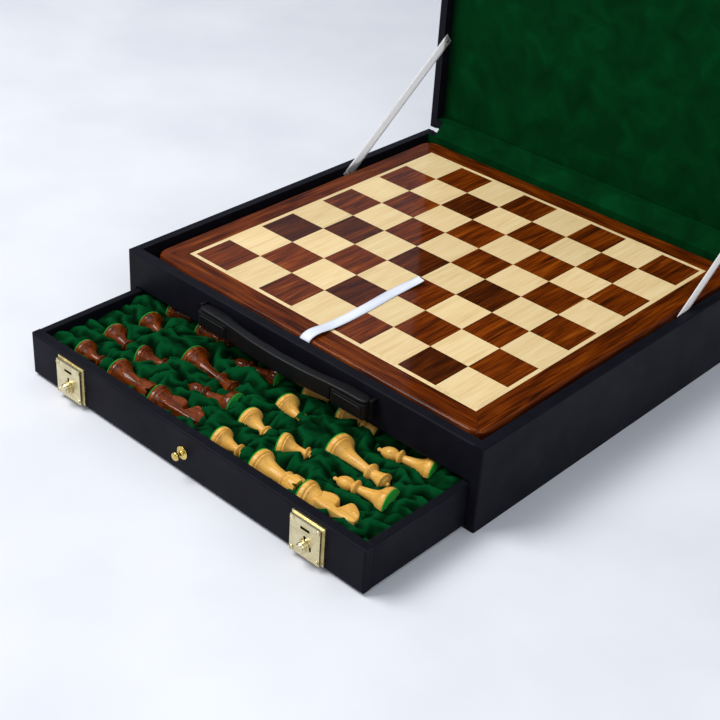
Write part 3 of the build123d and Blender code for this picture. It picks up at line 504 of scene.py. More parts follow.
FELT_STOPS = ((0.3, (18, 130, 36)), (0.7, (52, 196, 70)))
FELT = {"Roughness": 0.95, "Sheen Weight": 0.1, "Sheen Roughness": 0.5, "Specular IOR Level": 0.05}
LIGHT_COAT = {"Coat Weight": 0.4, "Coat Roughness": 0.14}
DARK_COAT = {"Coat Weight": 0.5, "Coat Roughness": 0.06}
GOLD = ((196, 166, 84), (240, 214, 130))
square_side = (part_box("light_squares")[1].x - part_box("light_squares")[0].x) / 8
materials = {
    "leatherette": leatherette_material(),
    "carcass": fibrous("carcass", {"Roughness": 0.7}, ALONG_Y, (420.0, 5.0), CARCASS_STOPS, 0.0001),
    "velvet": velvet_material("velvet"),
    "handle_plastic": plastic_material(),
    "steel": brushed_metal("steel", (150, 150, 150), (205, 205, 205), 0.28, EVEN),
    "brass": brushed_metal("brass", (196, 182, 138), (236, 226, 190), 0.30, ALONG_X),
    "polished_brass": brushed_metal("polished_brass", *GOLD, 0.14, EVEN),
    "light_men": men_material("light_men", BOXWOOD_STOPS, LIGHT_COAT),
    "dark_men": men_material("dark_men", RED_WOOD_STOPS, DARK_COAT),
    "felt": fibrous("felt", FELT, EVEN, (1500.0, 4.0, 1.5), FELT_STOPS, 0.0003),
    "dark_veneer": square_material("dark_veneer_squares", ROSEWOOD_STOPS, ROSEWOOD_SHADES, 0.00003, 0.5),
    "light_veneer": square_material("light_veneer", MAPLE_STOPS, MAPLE_SHADES, 0.00002, 0.4),
    "core_wood": fibrous("core_wood", {"Roughness": 0.6}, ALONG_X, (300.0, 5.0), CORE_STOPS, 0),
    "white_ribbon": satin_material("white_ribbon", (214, 222, 238), (236, 241, 249), 0),
}
slot_of = {part["node"]: part["material_slot"] for part in frame["record"]["subparts"]}
for name, node in nodes.items():
    node.data.materials.clear()
    node.data.materials.append(materials[slot_of[name]])
nodes["board_border"].data.materials[0] = border_material()


def raw_mesh(name, vertices, faces):
    """A new mesh from points and faces."""
    mesh = bpy.data.meshes.new(name)
    mesh.from_pydata([tuple(v) for v in vertices], [], [tuple(f) for f in faces])
    return mesh


def added(name, data):
    """A new object in the scene."""
    obj = bpy.data.objects.new(name, data)
    bpy.context.scene.collection.objects.link(obj)
    return obj


def piece(name, vertices, faces, slot, body, smooth_angle=40):
    """A mesh piece that rides on a body, with its finish and smooth shading up to an angle."""
    mesh = raw_mesh(name, vertices, faces)
    mesh.update()
    mesh.shade_smooth()
    mesh.set_sharp_from_angle(angle=math.radians(smooth_angle))
    mesh.materials.append(materials[slot])
    obj = added(name, mesh)
    if body:
        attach(obj, body)
    return obj


def softened(node, width, segments, body):
    """A copy of a node with its edges eased, which stands for the node."""
    mesh = nodes[node].data.copy()
    work = bmesh.new()
    work.from_mesh(mesh)
    bmesh.ops.remove_doubles(work, verts=work.verts, dist=WELD)
    flat, corner = math.radians(FLAT_DEGREES), math.radians(SHARP_DEGREES)
    bmesh.ops.dissolve_limit(work, angle_limit=flat, verts=work.verts, edges=work.edges)
    sharp = [e for e in work.edges if e.is_manifold and e.calc_face_angle(0) > corner]
    bmesh.ops.bevel(
        work, geom=sharp, offset=width, offset_type="OFFSET", segments=segments, profile=0.5,
        affect="EDGES", clamp_overlap=True,
    )
    work.to_mesh(mesh)
    work.free()
    mesh.shade_smooth()
    mesh.set_sharp_from_angle(angle=math.radians(EASED_DEGREES))
    obj = added(node + "_eased", mesh)
    obj.modifiers.new("flat faces", "WEIGHTED_NORMAL").keep_sharp = True
    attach(obj, body)
    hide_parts(node)


def smooth_outline(points, steps):
    """An outline through given points, rounded between them."""
    points = np.array(points, float)
    padded = np.vstack([points[0], points, points[-1]])
    t = np.linspace(0, 1, steps, endpoint=False)[:, None]
    runs = []
    for a, b, c, d in zip(padded, padded[1:], padded[2:], padded[3:]):
        bend = (2 * b) + (c - a) * t + (2 * a - 5 * b + 4 * c - d) * t**2 + (3 * b - a - 3 * c + d) * t**3
        runs.append(bend / 2)
    return np.vstack([*runs, points[-1:]])


def lathe(shares, height, radius, steps=OUTLINE_STEPS):
    """A turned body on the origin, along +Z."""
    outline = smooth_outline(shares, steps)
    rings = [(max(r, 0) * radius, z * height) for z, r in outline]
    count = TURNED_SEGMENTS
    turns = np.arange(count) * 2 * math.pi / count
    vertices = [(0, 0, rings[0][1])]
    for r, z in rings[:-1]:
        vertices += [(r * math.cos(a), r * math.sin(a), z) for a in turns]
    vertices.append((0, 0, rings[-1][1]))
    last = len(vertices) - 1
    faces = []
    for k in range(count):
        n = (k + 1) % count
        faces.append((0, 1 + n, 1 + k))
        for low in range(1, last - count, count):
            faces.append((low + k, low + n, low + count + n, low + count + k))
        faces.append((last - count + k, last - count + n, last))
    return np.array(vertices), faces


def box_mesh(low, high):
    """The corners and faces of a box."""
    corners = [(x, y, z) for x in (low[0], high[0]) for y in (low[1], high[1]) for z in (low[2], high[2])]
    faces = [(0, 1, 3, 2), (4, 6, 7, 5), (0, 4, 5, 1), (2, 3, 7, 6), (0, 2, 6, 4), (1, 5, 7, 3)]
    return np.array(corners), faces


def joined(shapes):
    """Several sets of vertices and faces as one."""
    vertices, faces = [], []
    start = 0
    for points, loops in shapes:
        vertices.append(np.array(points))
        faces += [tuple(start + i for i in loop) for loop in loops]
        start += len(points)
    return np.vstack(vertices), faces


def carved(name, vertices, faces, voxel):
    """The outer skin of overlapping closed shapes, as vertices and faces."""
    mesh = raw_mesh(name, vertices, faces)
    obj = added(name, mesh)
    remesh = obj.modifiers.new("skin", "REMESH")
    remesh.mode = "VOXEL"
    remesh.voxel_size = voxel
    smooth = obj.modifiers.new("soften", "SMOOTH")
    smooth.factor = 0.5
    smooth.iterations = 3
    skin = obj.evaluated_get(bpy.context.evaluated_depsgraph_get()).data
    points = np.array([v.co[:] for v in skin.vertices])
    loops = [tuple(p.vertices) for p in skin.polygons]
    bpy.data.objects.remove(obj)
    bpy.data.meshes.remove(mesh)
    return points, loops


def slab(outline, half, round_off, layers=5):
    """A closed slab with rounded edges: an outline in Y and Z, thick along X."""
    outline = np.array(outline)
    tangent = np.roll(outline, -1, axis=0) - np.roll(outline, 1, axis=0)
    tangent /= np.linalg.norm(tangent, axis=1)[:, None]
    inward = np.column_stack([tangent[:, 1], -tangent[:, 0]])
    turns = np.linspace(-math.pi / 2, math.pi / 2, 2 * layers + 1)
    vertices = []
    for a in turns:
        ring = outline + inward * round_off * (1 - math.cos(a))
        x = math.copysign(half - round_off, a) + round_off * math.sin(a) if a else 0
        vertices += [(x, y, z) for y, z in ring]
    count = len(outline)
    faces = []
    for low in range(0, len(vertices) - count, count):
        for k in range(count):
            n = (k + 1) % count
            faces.append((low + k, low + count + k, low + count + n, low + n))
    faces.append(tuple(range(count)))
    faces.append(tuple(reversed(range(len(vertices) - count, len(vertices)))))
    return np.array(vertices), faces


def knight_mesh(height, radius):
    """A knight: a turned foot and a carved horse's head that faces +X."""
    outline = smooth_outline(KNIGHT_HEAD_SHARES, KNIGHT_HEAD_STEPS) * (height, radius)
    sides = np.column_stack([outline[:, 1], outline[:, 0]])
    half = KNIGHT_HEAD_THICKNESS * radius / 2
    head, head_faces = slab(sides, half, KNIGHT_HEAD_ROUNDING * half)
    foot = lathe(KNIGHT_SHARES, height, radius)
    turned_head = head[:, [1, 0, 2]]
    points, loops = carved("knight", *joined([foot, (turned_head, head_faces)]), KNIGHT_VOXEL)
    along, face_way, side = points[:, 2] / height, points[:, 0] / radius, np.sign(points[:, 1])
    points[:, 1] *= np.interp(along, *KNIGHT_NARROWING)
    for mark_along, mark_face, width in KNIGHT_MARKS:
        up = (along - mark_along) / width
        out = (face_way - mark_face) / (KNIGHT_MARK_STRETCH * width)
        points[:, 1] -= side * KNIGHT_MARK_DEPTH * np.exp(-(up**2 + out**2))
    return points, loops


def king_mesh(height, radius):
    """A king: a turned body with a cross on top."""
    body = lathe(KING_SHARES, height, radius)
    thick = CROSS_HALF * radius
    reach = CROSS_REACH * radius
    low, high = (share * height for share in CROSS_ARMS)
    stem = box_mesh((-thick, -thick, CROSS_FOOT * height), (thick, thick, height))
    arms = box_mesh((-reach, -thick, low), (reach, thick, high))
    cross = carved("cross", *joined([stem, arms]), CROSS_VOXEL)
    return joined([body, cross])


def rook_mesh(height, radius):
    """A rook: a turned tower with a notched rim."""
    points, faces = lathe(ROOK_SHARES, height, radius)
    turn = np.degrees(np.arctan2(points[:, 1], points[:, 0])) % (360 / ROOK_NOTCHES)
    on_rim = np.hypot(points[:, 0], points[:, 1]) > ROOK_RIM_INSIDE * radius
    notch = on_rim & (turn < ROOK_NOTCH_DEGREES) & (points[:, 2] > ROOK_NOTCH_TOP * height)
    points[notch, 2] = ROOK_NOTCH_FLOOR * height
    return points, faces


def solids_of(node):
    """The points of each separate solid of a node."""
    work = bmesh.new()
    work.from_mesh(nodes[node].data)
    bmesh.ops.remove_doubles(work, verts=work.verts, dist=WELD)
    solids, left = [], set(work.verts)
    while left:
        found, reach = set(), [left.pop()]
        while reach:
            vert = reach.pop()
            found.add(vert)
            near = [e.other_vert(vert) for e in vert.link_edges]
            fresh = [v for v in near if v in left]
            left.difference_update(fresh)
            reach += fresh
        solids.append(np.array(sorted(v.co[:] for v in found)))
    work.free()
    return sorted(solids, key=lambda points: tuple(points.mean(0).round(4)))


def pad_places():
    """Centre, axis, radius and points of each felt pad."""
    places = []
    for points in solids_of("felt_pads"):
        centre = points.mean(0)
        axes = np.linalg.eigh(np.cov((points - centre).T))[1]
        radius = np.linalg.norm(points - centre, axis=1).max()
        places.append((centre, axes[:, 0], radius, points))
    return places


def lie_of(solid, pads):
    """Where a man lies: the middle of its base, its direction, height and radius."""
    def shared(pad):
        gaps = np.linalg.norm(pad[3][:, None] - solid[None], axis=2)
        return (gaps.min(1) < TOUCHING).sum()
    centre, axis, reach, points = max(pads, key=shared)
    axis = axis * math.copysign(1, (solid.mean(0) - centre) @ axis)
    levels = (points - centre) @ axis
    base = centre + axis * levels.max()
    radius = np.linalg.norm(points[levels > 0] - base, axis=1).max()
    return base, axis, ((solid - base) @ axis).max(), radius


def laid(points, base, axis):
    """Points of an upright piece, laid along a level axis from a base."""
    turn = np.column_stack([np.cross((0, 0, 1), axis), (0, 0, 1), axis])
    return points @ turn.T + base


MEN = {
    "pawns": (partial(lathe, PAWN_SHARES), PAWN_SHARES),
    "rooks": (rook_mesh, ROOK_SHARES),
    "knights": (knight_mesh, KNIGHT_GIRTHS),
    "bishops": (partial(lathe, BISHOP_SHARES), BISHOP_SHARES),
    "queen": (partial(lathe, QUEEN_SHARES), QUEEN_SHARES),
    "king": (king_mesh, KING_SHARES),
}
felt_places = pad_places()
lying_men = []
for colour in ("light", "dark"):
    for kind, (make, shares) in MEN.items():
        node = f"{colour}_{kind}"
        shapes, grains = [], []
        for number, solid in enumerate(solids_of(node)):
            base, axis, height, radius = lie_of(solid, felt_places)
            bare = PAWN_BARE_SHARES[number % len(PAWN_BARE_SHARES)] if kind == "pawns" else 1
            lying_men.append((base, axis, height, radius, shares, bare))
            points, faces = make(height, radius)
            shapes.append((laid(points, base, axis), faces))
            grains.append(points + GRAIN_SHIFT * base)
        vertices, faces = joined(shapes)
        men = piece(node + "_turned", vertices, faces, slot_of[node], "drawer")
        kept = men.data.attributes.new("grain", "FLOAT_VECTOR", "POINT")
        kept.data.foreach_set("vector", np.vstack(grains).astype(np.float32).ravel())
        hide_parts(node)

pad_shapes = []
for centre, axis, reach, points in felt_places:
    thickness = np.ptp((points - centre) @ axis)
    radius = math.sqrt(reach**2 - (thickness / 2) ** 2)
    disc, loops = lathe(FELT_SHARES, thickness, radius, 1)
    pad_shapes.append((laid(disc, centre - axis * thickness / 2, axis), loops))
felt = piece("felt_discs", *joined(pad_shapes), "felt", "drawer")
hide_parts("felt_pads")


def smoothstep(t):
    t = np.clip(t, 0, 1)
    return t * t * (3 - 2 * t)


def nearness(man, x, y):
    """For points beside one man: along it, across it, its half width there, and the gap to it."""
    base, axis, height, radius, shares, bare = man
    along = (x - base[0]) * axis[0] + (y - base[1]) * axis[1]
    across = (y - base[1]) * axis[0] - (x - base[0]) * axis[1]
    turned = np.interp(along, shares[:, 0] * height, shares[:, 1] * radius)
    girth = np.maximum(turned, LEAST_GIRTH_SHARE * radius)
    past = np.maximum(np.maximum(-BASE_OVERLAP - along, along - bare * height), 0)
    gap = np.hypot(past, np.maximum(np.abs(across) - girth, 0))
    return along, across, girth, gap


def men_marks(x, y):
    """For points of the pad: how clear of the men, where it meets, is pressed by and hides them."""
    clear = np.ones_like(x)
    weight = np.full_like(x, TINY_WEIGHT)
    contact = np.zeros_like(x)
    pressed = np.full_like(x, NOT_PRESSED)
    hidden = np.zeros_like(x)
    for man in lying_men:
        base, axis, height, radius, shares, bare = man
        along, across, girth, gap = nearness(man, x, y)
        near = 1 - smoothstep(gap / PAD_SHOULDER)
        clear *= 1 - near
        meeting = base[2] + PAD_MEETING_SHARE * girth
        contact += near * meeting
        weight += near
        depth = np.sqrt(np.maximum(girth**2 - across**2, 0))
        slope = meeting - PAD_PRESS_SLOPE * (girth - np.abs(across))
        bed = np.maximum(base[2] - depth + PAD_PRESS, slope)
        pressed = np.where(gap == 0, np.minimum(pressed, bed), pressed)
        tucked = (along > bare * height) & (along < height + PAD_PRESS) & (np.abs(across) < girth)
        hidden = np.where(tucked, np.maximum(hidden, base[2] + depth + PAD_PRESS), hidden)
    return clear, contact / weight, pressed, hidden


def pleats(turns):
    """Folds like pleats, one for each turn: each rises slowly and drops at once, from 0 to 1."""
    share = turns % 1
    return np.minimum(share / (1 - FOLD_DROP_SHARE), (1 - share) / FOLD_DROP_SHARE)


def soft_noise(x, y, scale, seed):
    """Soft noise over the pad, from about -1 to 1."""
    return np.array([noise.noise((a * scale, b * scale, seed)) for a, b in zip(x, y)])


def folds(x, y, walls):
    """How high the velvet stands, from 0 to 1, in folds that run out from men and walls."""
    warp = BEND * (soft_noise(x, y, *BROAD_BEND) + soft_noise(x, y, *FINE_BEND) / FINE_BEND_PARTS)
    strength = STRENGTH_MIDDLE + STRENGTH_SPREAD * soft_noise(x, y, *STRENGTH_NOISE)
    total = np.zeros_like(x)
    weight = np.full_like(x, TINY_WEIGHT)
    for number, man in enumerate(lying_men):
        base, axis, height, radius, shares, bare = man
        along, across, girth, gap = nearness(man, x, y)
        angle = np.arctan2(across / radius, 2 * along / height - 1)
        turns = FOLDS_ROUND_A_MAN * angle / (2 * math.pi) + FOLD_SHIFT * number + warp
        near = np.exp(-gap / FOLD_REACH)
        total += near * pleats(turns)
        weight += near
    for edge, run in walls:
        near = np.exp(-edge / FOLD_REACH)
        total += near * pleats(run / WALL_FOLD + warp)
        weight += near
    return total / weight * np.clip(strength, *STRENGTH_RANGE)


def draped(points, faces, held):
    """Cloth cut a little too large, which settles into folds between the points that hold it."""
    mesh = raw_mesh("spare_cloth", points * CLOTH_SCALE, faces)
    obj = added("spare_cloth", mesh)
    group = obj.vertex_groups.new(name="held")
    group.add([int(k) for k in np.flatnonzero(held)], 1.0, "REPLACE")
    cloth = obj.modifiers.new("cloth", "CLOTH")
    for setting, value in CLOTH_SETTINGS.items():
        setattr(cloth.settings, setting, value)
    cloth.settings.effector_weights.gravity = 0
    scene = bpy.context.scene
    cloth.point_cache.frame_end = CLOTH_FRAMES
    for moment in range(1, CLOTH_FRAMES + 1):
        scene.frame_set(moment)
    settled = obj.evaluated_get(bpy.context.evaluated_depsgraph_get()).data
    folded = np.array([v.co[:] for v in settled.vertices]) / CLOTH_SCALE
    scene.frame_set(1)
    bpy.data.objects.remove(obj)
    bpy.data.meshes.remove(mesh)
    return folded


def folded_velvet(x, y, faces):
    """The velvet's points: pressed down under the men and folded between them."""
    low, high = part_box("drawer_lining")
    clear, contact, pressed, hidden = men_marks(x, y)
    walls = [(x - low.x, y), (high.x - x, y), (y - low.y, x), (high.y - y, x)]
    edge = np.min([gap for gap, run in walls], axis=0)
    free = PAD_WALL_LEVEL + (PAD_FREE_LEVEL - PAD_WALL_LEVEL) * smoothstep(edge / PAD_WALL_SLOPE)
    level = contact * (1 - clear) + free * clear
    raised = level + FOLD_HEIGHT * (folds(x, y, walls) - FOLD_MIDDLE)
    start = np.minimum(np.maximum(raised, hidden), pressed)
    held = (pressed < NOT_PRESSED) | (hidden > 0) | (edge < PAD_WALL_HOLD)
    points = np.column_stack([x, y, start])
    points = draped(points, faces, held)
    points[:, 0] = np.clip(points[:, 0], low.x + PAD_MARGIN, high.x - PAD_MARGIN)
    points[:, 1] = np.clip(points[:, 1], low.y + PAD_MARGIN, high.y - PAD_MARGIN)
    clear, contact, pressed, hidden = men_marks(points[:, 0], points[:, 1])
    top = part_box("drawer_side_left")[1].z - PAD_CLEARANCE
    inside = np.clip(points[:, 2], low.z + PAD_CLEARANCE, top)
    points[:, 2] = np.minimum(np.maximum(inside, hidden), pressed)
    return points


def grid_faces(columns, rows):
    """The faces of a grid of points, row by row."""
    wide = columns + 1
    corners = [row * wide + column for row in range(rows) for column in range(columns)]
    return [(k, k + 1, k + wide + 1, k + wide) for k in corners]


def painted_fold_shade_of(levels):
    """How a grid of levels stands against its surroundings: 0 in a crease, 1 on a fold, for the painted
    shade in creases and painted light on folds.
    """
    around = levels
    for turn in range(FOLD_SHADE_BLUR_ROUNDS):
        wider = np.pad(around, 1, mode="edge")
        around = (wider[:-2, 1:-1] + wider[2:, 1:-1] + wider[1:-1, :-2] + wider[1:-1, 2:] + around) / 5
    return np.clip(0.5 + (levels - around) / FOLD_SHADE_RELIEF, 0, 1)


def velvet_pad():
    """The drawer's padded velvet, closed down to the drawer's floor: points, faces and the painted shade
    of its creases and folds.
    """
    low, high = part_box("drawer_lining")
    columns = int((high.x - low.x) / PAD_STEP)
    rows = int((high.y - low.y) / PAD_STEP)
    xs = np.linspace(low.x + PAD_MARGIN, high.x - PAD_MARGIN, columns + 1)
    ys = np.linspace(low.y + PAD_MARGIN, high.y - PAD_MARGIN, rows + 1)
    x, y = np.meshgrid(xs, ys)
    faces = grid_faces(columns, rows)
    vertices = folded_velvet(x.ravel(), y.ravel(), faces)
    foot = len(vertices)
    grid = np.arange(foot).reshape(x.shape)
    rim = np.concatenate([grid[0], grid[1:, -1], grid[-1, -2::-1], grid[-2:0:-1, 0]]).tolist()
    skirt = vertices[rim].copy()
    skirt[:, 2] = low.z
    count = len(rim)
    for k in range(count):
        n = (k + 1) % count
        faces.append((rim[n], rim[k], foot + k, foot + n))
    faces.append(tuple(foot + k for k in reversed(range(count))))
    # Painted shade: 0 in the creases, 1 on the folds, from each point's level against its blurred
    # surroundings
    lie = painted_fold_shade_of(vertices[:, 2].reshape(x.shape)).ravel()
    return np.vstack([vertices, skirt]), faces, np.concatenate([lie, np.full(count, 0.5)])


pad_vertices, pad_faces, pad_fold_shade = velvet_pad()
pad = piece("drawer_velvet", pad_vertices, pad_faces, "velvet", "drawer", SMOOTH_ALL)
# The velvet's colour carries painted shade in its creases and painted light on its folds
pad.data.materials[0] = velvet_material("folded_velvet", "painted_fold_shade")
pad.data.attributes.new("painted_fold_shade", "FLOAT", "POINT").data.foreach_set("value", pad_fold_shade.astype(np.float32))
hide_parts("drawer_lining")


def strip(name, centres, across, body):
    """A flat white band along a line of centres, with its width direction at each centre."""
    centres, across = np.array(centres), np.array(across)
    shares = np.linspace(-0.5, 0.5, BAND_CELLS + 1)
    vertices = np.concatenate([centres + across * share for share in shares])
    faces = grid_faces(len(centres) - 1, BAND_CELLS)
    band = piece(name, vertices, faces, "white_ribbon", body, SMOOTH_ALL)
    solid = band.modifiers.new("cloth", "SOLIDIFY")
    solid.thickness = RIBBON_THICKNESS
    solid.offset = 0
    return band


# The white ribbon: glued to the board's front edge, over the border and loose on the squares
ribbon_low, ribbon_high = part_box("pull_ribbon")
board_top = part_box("board_border")[1].z
middle = (ribbon_low.x + ribbon_high.x) / 2
front = ribbon_low.y + RIBBON_THICKNESS
end = ribbon_high.y
route = [(middle, front, ribbon_low.z)]
route += [(middle + x, front + y, board_top + z) for x, y, z in RIBBON_OVER_BOARD]
route += [(middle + x, end + y, board_top + z) for x, y, z in RIBBON_LOOSE_END]
line = smooth_outline(route, RIBBON_STEPS)
width = ribbon_high.x - ribbon_low.x
way = np.tile((width, 0.0, 0.0), (len(line), 1))
way[:, 1] = RIBBON_SLANT * smoothstep(1 + (line[:, 1] - end) / RIBBON_SLANT_RUN)
way[:, 2] = RIBBON_TILT * smoothstep(1 + (line[:, 1] - end) / RIBBON_TILT_RUN)
ribbon = strip("white_pull_ribbon", line, way, "board")
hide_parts("pull_ribbon")

webbing = satin_material("white_webbing", (244, 248, 255), (252, 253, 255), 1)


def stay(hand):
    """A white webbing stay from the case wall to the lid wall."""
    node = f"stay_{hand}"
    low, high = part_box(node)
    middle = (low.x + high.x) / 2
    slope = math.atan2(high.z - low.z, high.y - low.y)
    trim = Vector((0, math.sin(slope), math.cos(slope))) * STAY_WIDTH / 2
    foot = Vector((middle, low.y, low.z)) + trim
    head = Vector((middle, high.y, high.z)) - trim
    line = [foot.lerp(head, k / STAY_ROWS) for k in range(STAY_ROWS + 1)]
    across = Vector((0, -math.sin(slope), math.cos(slope))) * STAY_WIDTH
    band = strip(f"white_stay_{hand}", line, [across] * len(line), None)
    band.data.materials[0] = webbing
    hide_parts(node)
    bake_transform(band)


for hand in ("left", "right"):
    stay(hand)


def velvet_sheet(name, body, node, corner, first, second, lift, wave, rows=PANEL_CELLS):
    """A velvet sheet over a flat panel, from a corner along two directions, a little uneven."""
    corner, first, second, lift = (np.array(v, float) for v in (corner, first, second, lift))
    width, length = float(np.linalg.norm(first)), float(np.linalg.norm(second))
    vertices = []
    for v in np.arange(rows + 1) / rows:
        for u in np.arange(PANEL_CELLS + 1) / PANEL_CELLS:
            point = corner + first * u + second * v
            rim = min(min(u, 1 - u) * width, min(v, 1 - v) * length)
            rise = wave * (0.5 + 0.5 * noise.noise(Vector(point) * WAVE_SCALE)) * min(rim / WAVE_FADE, 1)
            vertices.append(point + lift * rise)
    cloth = piece(name, vertices, grid_faces(PANEL_CELLS, rows), "velvet", body, SMOOTH_ALL)
    if node:
        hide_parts(node)
    return cloth


# Velvet inside the lid, with a fold at its foot that comes forward to the rim
lid_low, lid_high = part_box("lid_lining")
face_y = lid_high.y - LID_VELVET_BACK
foot_z = lid_low.z + LID_VELVET_FOOT
ledge_z = lid_low.z + LEDGE_LIFT
lid_wide = (lid_high.x - lid_low.x, 0, 0)
lid_rise = (0, 0, lid_high.z - lid_low.z - LID_VELVET_FOOT)
ledge_depth = (0, face_y - lid_low.y, 0)
velvet_sheet(
    "lid_velvet", "lid", "lid_lining",
    (lid_low.x, face_y, foot_z), lid_wide, lid_rise, (0, -1, 0), LID_WAVE,
)
velvet_sheet(
    "lid_velvet_ledge", "lid", None,
    (lid_low.x, lid_low.y, ledge_z), lid_wide, ledge_depth, (0, 0, 1), LEDGE_WAVE, STRIP_CELLS,
)

# Velvet on the case's back wall, and the strip that crosses the hinge
wall_low, wall_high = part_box("back_wall_lining")
wall_wide = (wall_high.x - wall_low.x, 0, 0)
wall_rise = (0, 0, wall_high.z - wall_low.z)
velvet_sheet(
    "back_wall_velvet", "case", "back_wall_lining",
    wall_low, wall_wide, wall_rise, (0, -1, 0), WALL_WAVE, STRIP_CELLS,
)
cloth_low, cloth_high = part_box("hinge_cloth")
cloth_wide = (cloth_high.x - cloth_low.x, 0, 0)
bridge_start = Vector((0, wall_low.y, wall_high.z))
bridge_end = Vector((0, lid_low.y, ledge_z))
run = bridge_end - bridge_start
bridge = velvet_sheet(
    "hinge_velvet", None, "hinge_cloth",
    (cloth_low.x, wall_low.y, wall_high.z), cloth_wide, run, (0, -run.z, run.y), 0, BRIDGE_CELLS,
)
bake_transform(bridge)


def level_slab(outline, low, high, round_off):
    """A slab with rounded edges over an outline in plan."""
    points, faces = slab(outline, (high - low) / 2, round_off)
    return points[:, [1, 2, 0]] + (0, 0, (low + high) / 2), faces


def moulded_grip():
    """The grip: a flat top that widens into a paddle at each end, over a deep bowed bar."""
    low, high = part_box("handle_grip")
    half, depth = high.x, high.y - low.y
    front = smooth_outline(GRIP_FRONT_SHARES, GRIP_STEPS)
    rear = smooth_outline(GRIP_REAR_SHARES, GRIP_STEPS)

    def both_halves(*runs):
        right = np.vstack(runs) * (half, depth) + (0, low.y)
        return np.vstack([right, right[-2:0:-1] * (-1, 1)])[::-1]

    plate = level_slab(both_halves(front, rear), high.z - GRIP_PLATE, high.z, GRIP_ROUND)
    bow_front = front[front[:, 0] < GRIP_BODY_SHARE]
    bow_rear = rear[rear[:, 0] < GRIP_BODY_SHARE - GRIP_REAR_INSET]
    bar = level_slab(both_halves(bow_front, bow_rear), low.z, high.z, 2 * GRIP_ROUND)
    return carved("grip", *joined([plate, bar]), GRIP_VOXEL)


grip = piece("moulded_grip", *moulded_grip(), "handle_plastic", "handle", SMOOTH_ALL)
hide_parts("handle_grip")

# Hard-edged pieces with eased edges
softened("handle_brackets", EDGE_SOFTENING, EDGE_STEPS, "case")
for hand in ("left", "right"):
    softened(f"drawer_side_{hand}", EDGE_SOFTENING, EDGE_STEPS, "drawer")
    softened(f"hasp_arm_{hand}", HASP_SOFTENING, HASP_STEPS, f"hasp_{hand}")
softened("drawer_back", EDGE_SOFTENING, EDGE_STEPS, "drawer")


# Turned brass: the drawer knob on its rosette, and the lock knobs over their slides
def front_turned(name, shares, back, reach, radius, slot, body):
    """A turned piece that faces the front: the middle of its back, its reach and its radius."""
    points, faces = lathe(shares, reach, radius)
    return piece(name, points @ FACING_FRONT + back, faces, slot, body)


def turned_over(name, shares, node):
    """A turned piece that stands for a round node of the drawer's front."""
    low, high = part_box(node)
    back = ((low.x + high.x) / 2, high.y, (low.z + high.z) / 2)
    reach, radius = high.y - low.y, (high.x - low.x) / 2
    obj = front_turned(name, shares, back, reach, radius, "polished_brass", "drawer")
    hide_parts(node)


turned_over("round_rosette", ROSETTE_SHARES, "knob_rosette")
turned_over("round_knob", KNOB_SHARES, "drawer_knob")

plate_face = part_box("lock_plates")[0].y - LOCK_PLAY
for hand in ("left", "right"):
    slide_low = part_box(f"lock_slider_{hand}")[0]
    hasp_low, hasp_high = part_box(f"hasp_arm_{hand}")
    back = ((hasp_low.x + hasp_high.x) / 2, plate_face, slide_low.z + LOCK_RING_RADIUS)
    reach = plate_face - slide_low.y + KNOB_COVER
    radius = LOCK_KNOB_RADIUS + KNOB_COVER
    front_turned(f"lock_knob_{hand}", LOCK_KNOB_SHARES, back, reach, radius, "brass", f"lock_{hand}")


def slotted_head(radius, height):
    """A low domed screw head on the origin with a slot across it."""
    vertices = []
    for u in SLOT_SHARES:
        for v in SLOT_SHARES:
            x, y = u * math.sqrt(1 - v * v / 2), v * math.sqrt(1 - u * u / 2)
            rise = height * (1 - HEAD_FALL * (x * x + y * y))
            if max(abs(u), abs(v)) == 1:
                rise = 0
            elif abs(u) < SLOT_HALF:
                rise *= SLOT_FLOOR
            vertices.append((x * radius, y * radius, rise))
    count = len(SLOT_SHARES)
    return np.array(vertices), [(a, d, c, b) for a, b, c, d in grid_faces(count - 1, count - 1)]


def screw_heads(node, body, slot):
    """A slotted head over each screw of a node."""
    shapes = []
    for index, points in enumerate(solids_of(node)):
        centre = points.mean(0)
        axis = np.linalg.eigh(np.cov((points - centre).T))[1][:, 2]
        along = (points - centre) @ axis
        reach = np.linalg.norm(points - centre - np.outer(along, axis), axis=1)
        widest = reach > HEAD_WIDEST * reach.max()
        way = math.copysign(1, along[widest].mean())
        axis, along = way * axis, way * along
        foot = along[widest].min()
        height = along.max() - foot
        aim = Vector(axis).to_track_quat("Z", "Y").to_matrix()
        turn = aim @ Matrix.Rotation(HEAD_TURN * index, 3, "Z")
        head, faces = slotted_head(HEAD_COVER * reach.max(), HEAD_RISE * height)
        shapes.append((head @ np.array(turn).T + centre + axis * foot, faces))
    piece(node + "_heads", *joined(shapes), slot, body, SHARP_DEGREES)


screw_heads("drawer_screws", "drawer", "brass")
screw_heads("case_screws", "case", "steel")
screw_heads("lid_screws", "lid", "steel")


def area_light(name, spot, aim, side, power, tint):
    """A square soft light at a spot, turned towards a point."""
    light = bpy.data.lights.new(name, "AREA")
    light.shape = "SQUARE"
    light.size = side
    light.energy = power
    light.color = tint
    obj = added(name, light)
    obj.location = spot
    obj.rotation_euler = (Vector(aim) - Vector(spot)).to_track_quat("-Z", "Y").to_euler()


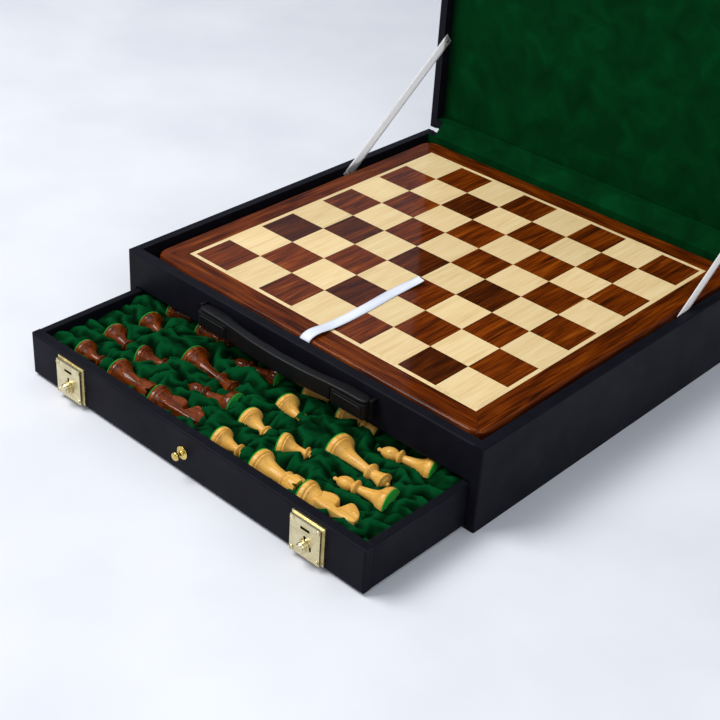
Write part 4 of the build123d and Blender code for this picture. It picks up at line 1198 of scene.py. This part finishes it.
# Stage: a pale floor that curves up to a pale wall
turns = np.linspace(0, math.pi / 2, WALL_STEPS)
curve = [(FLOOR_DEPTH + WALL_BEND * math.sin(a), WALL_BEND * (1 - math.cos(a))) for a in turns]
line = [(FLOOR_FRONT, 0), *curve, (FLOOR_DEPTH + WALL_BEND, WALL_RISE)]
turn = Matrix.Rotation(math.radians(VIEW_AZIMUTH), 3, "Z")
sides = (-FLOOR_HALF_WIDTH, FLOOR_HALF_WIDTH)
count = len(line)
backdrop = raw_mesh(
    "backdrop", [turn @ Vector((x, y, z)) for x in sides for y, z in line],
    [(k, k + count, k + count + 1, k + 1) for k in range(count - 1)],
)
backdrop.shade_smooth()
floor = shader("studio_floor", {"Roughness": 0.6, "Specular IOR Level": 0.2})
paint(floor, speckle(floor, 5.0, 4.0), [(0.35, (219, 222, 230)), (0.65, (228, 231, 238))])
backdrop.materials.append(floor)
added("backdrop", backdrop)

# Light: a bluish surrounding, a key light and a weak fill
world = bpy.data.worlds.new("studio")
world.use_nodes = True
background = world.node_tree.nodes["Background"]
background.inputs["Color"].default_value = (0.90, 0.94, 1.0, 1)
background.inputs["Strength"].default_value = 0.5
bpy.context.scene.world = world
area_light("key", (-1.0, -1.2, 2.2), aim=(0, -0.1, 0.1), side=1.3, power=58, tint=(1.0, 0.98, 0.95))
area_light("fill", (1.7, -1.0, 1.5), aim=(0, 0, 0.1), side=1.2, power=9, tint=(0.95, 0.97, 1.0))

# Camera
azimuth, elevation, roll = (math.radians(a) for a in (VIEW_AZIMUTH, VIEW_ELEVATION, VIEW_ROLL))
back = Vector((math.sin(azimuth), -math.cos(azimuth), 0)) * math.cos(elevation)
back.z = math.sin(elevation)
right = Vector((0, 0, 1)).cross(back).normalized()
up = back.cross(right)
tilted_right = right * math.cos(roll) + up * math.sin(roll)
tilted_up = up * math.cos(roll) - right * math.sin(roll)
lens = bpy.data.cameras.new("photograph")
lens.sensor_width = SENSOR_WIDTH
lens.lens = FOCAL_PIXELS / IMAGE_SIDE * SENSOR_WIDTH
camera = added("photograph", lens)
turn = Matrix((tilted_right, tilted_up, back)).transposed().to_4x4()
camera.matrix_world = Matrix.Translation(VIEW_TARGET + back * VIEW_DISTANCE) @ turn
bpy.context.scene.camera = camera
bpy.context.scene.view_settings.view_transform = "Standard"

bpy.context.view_layer.update()
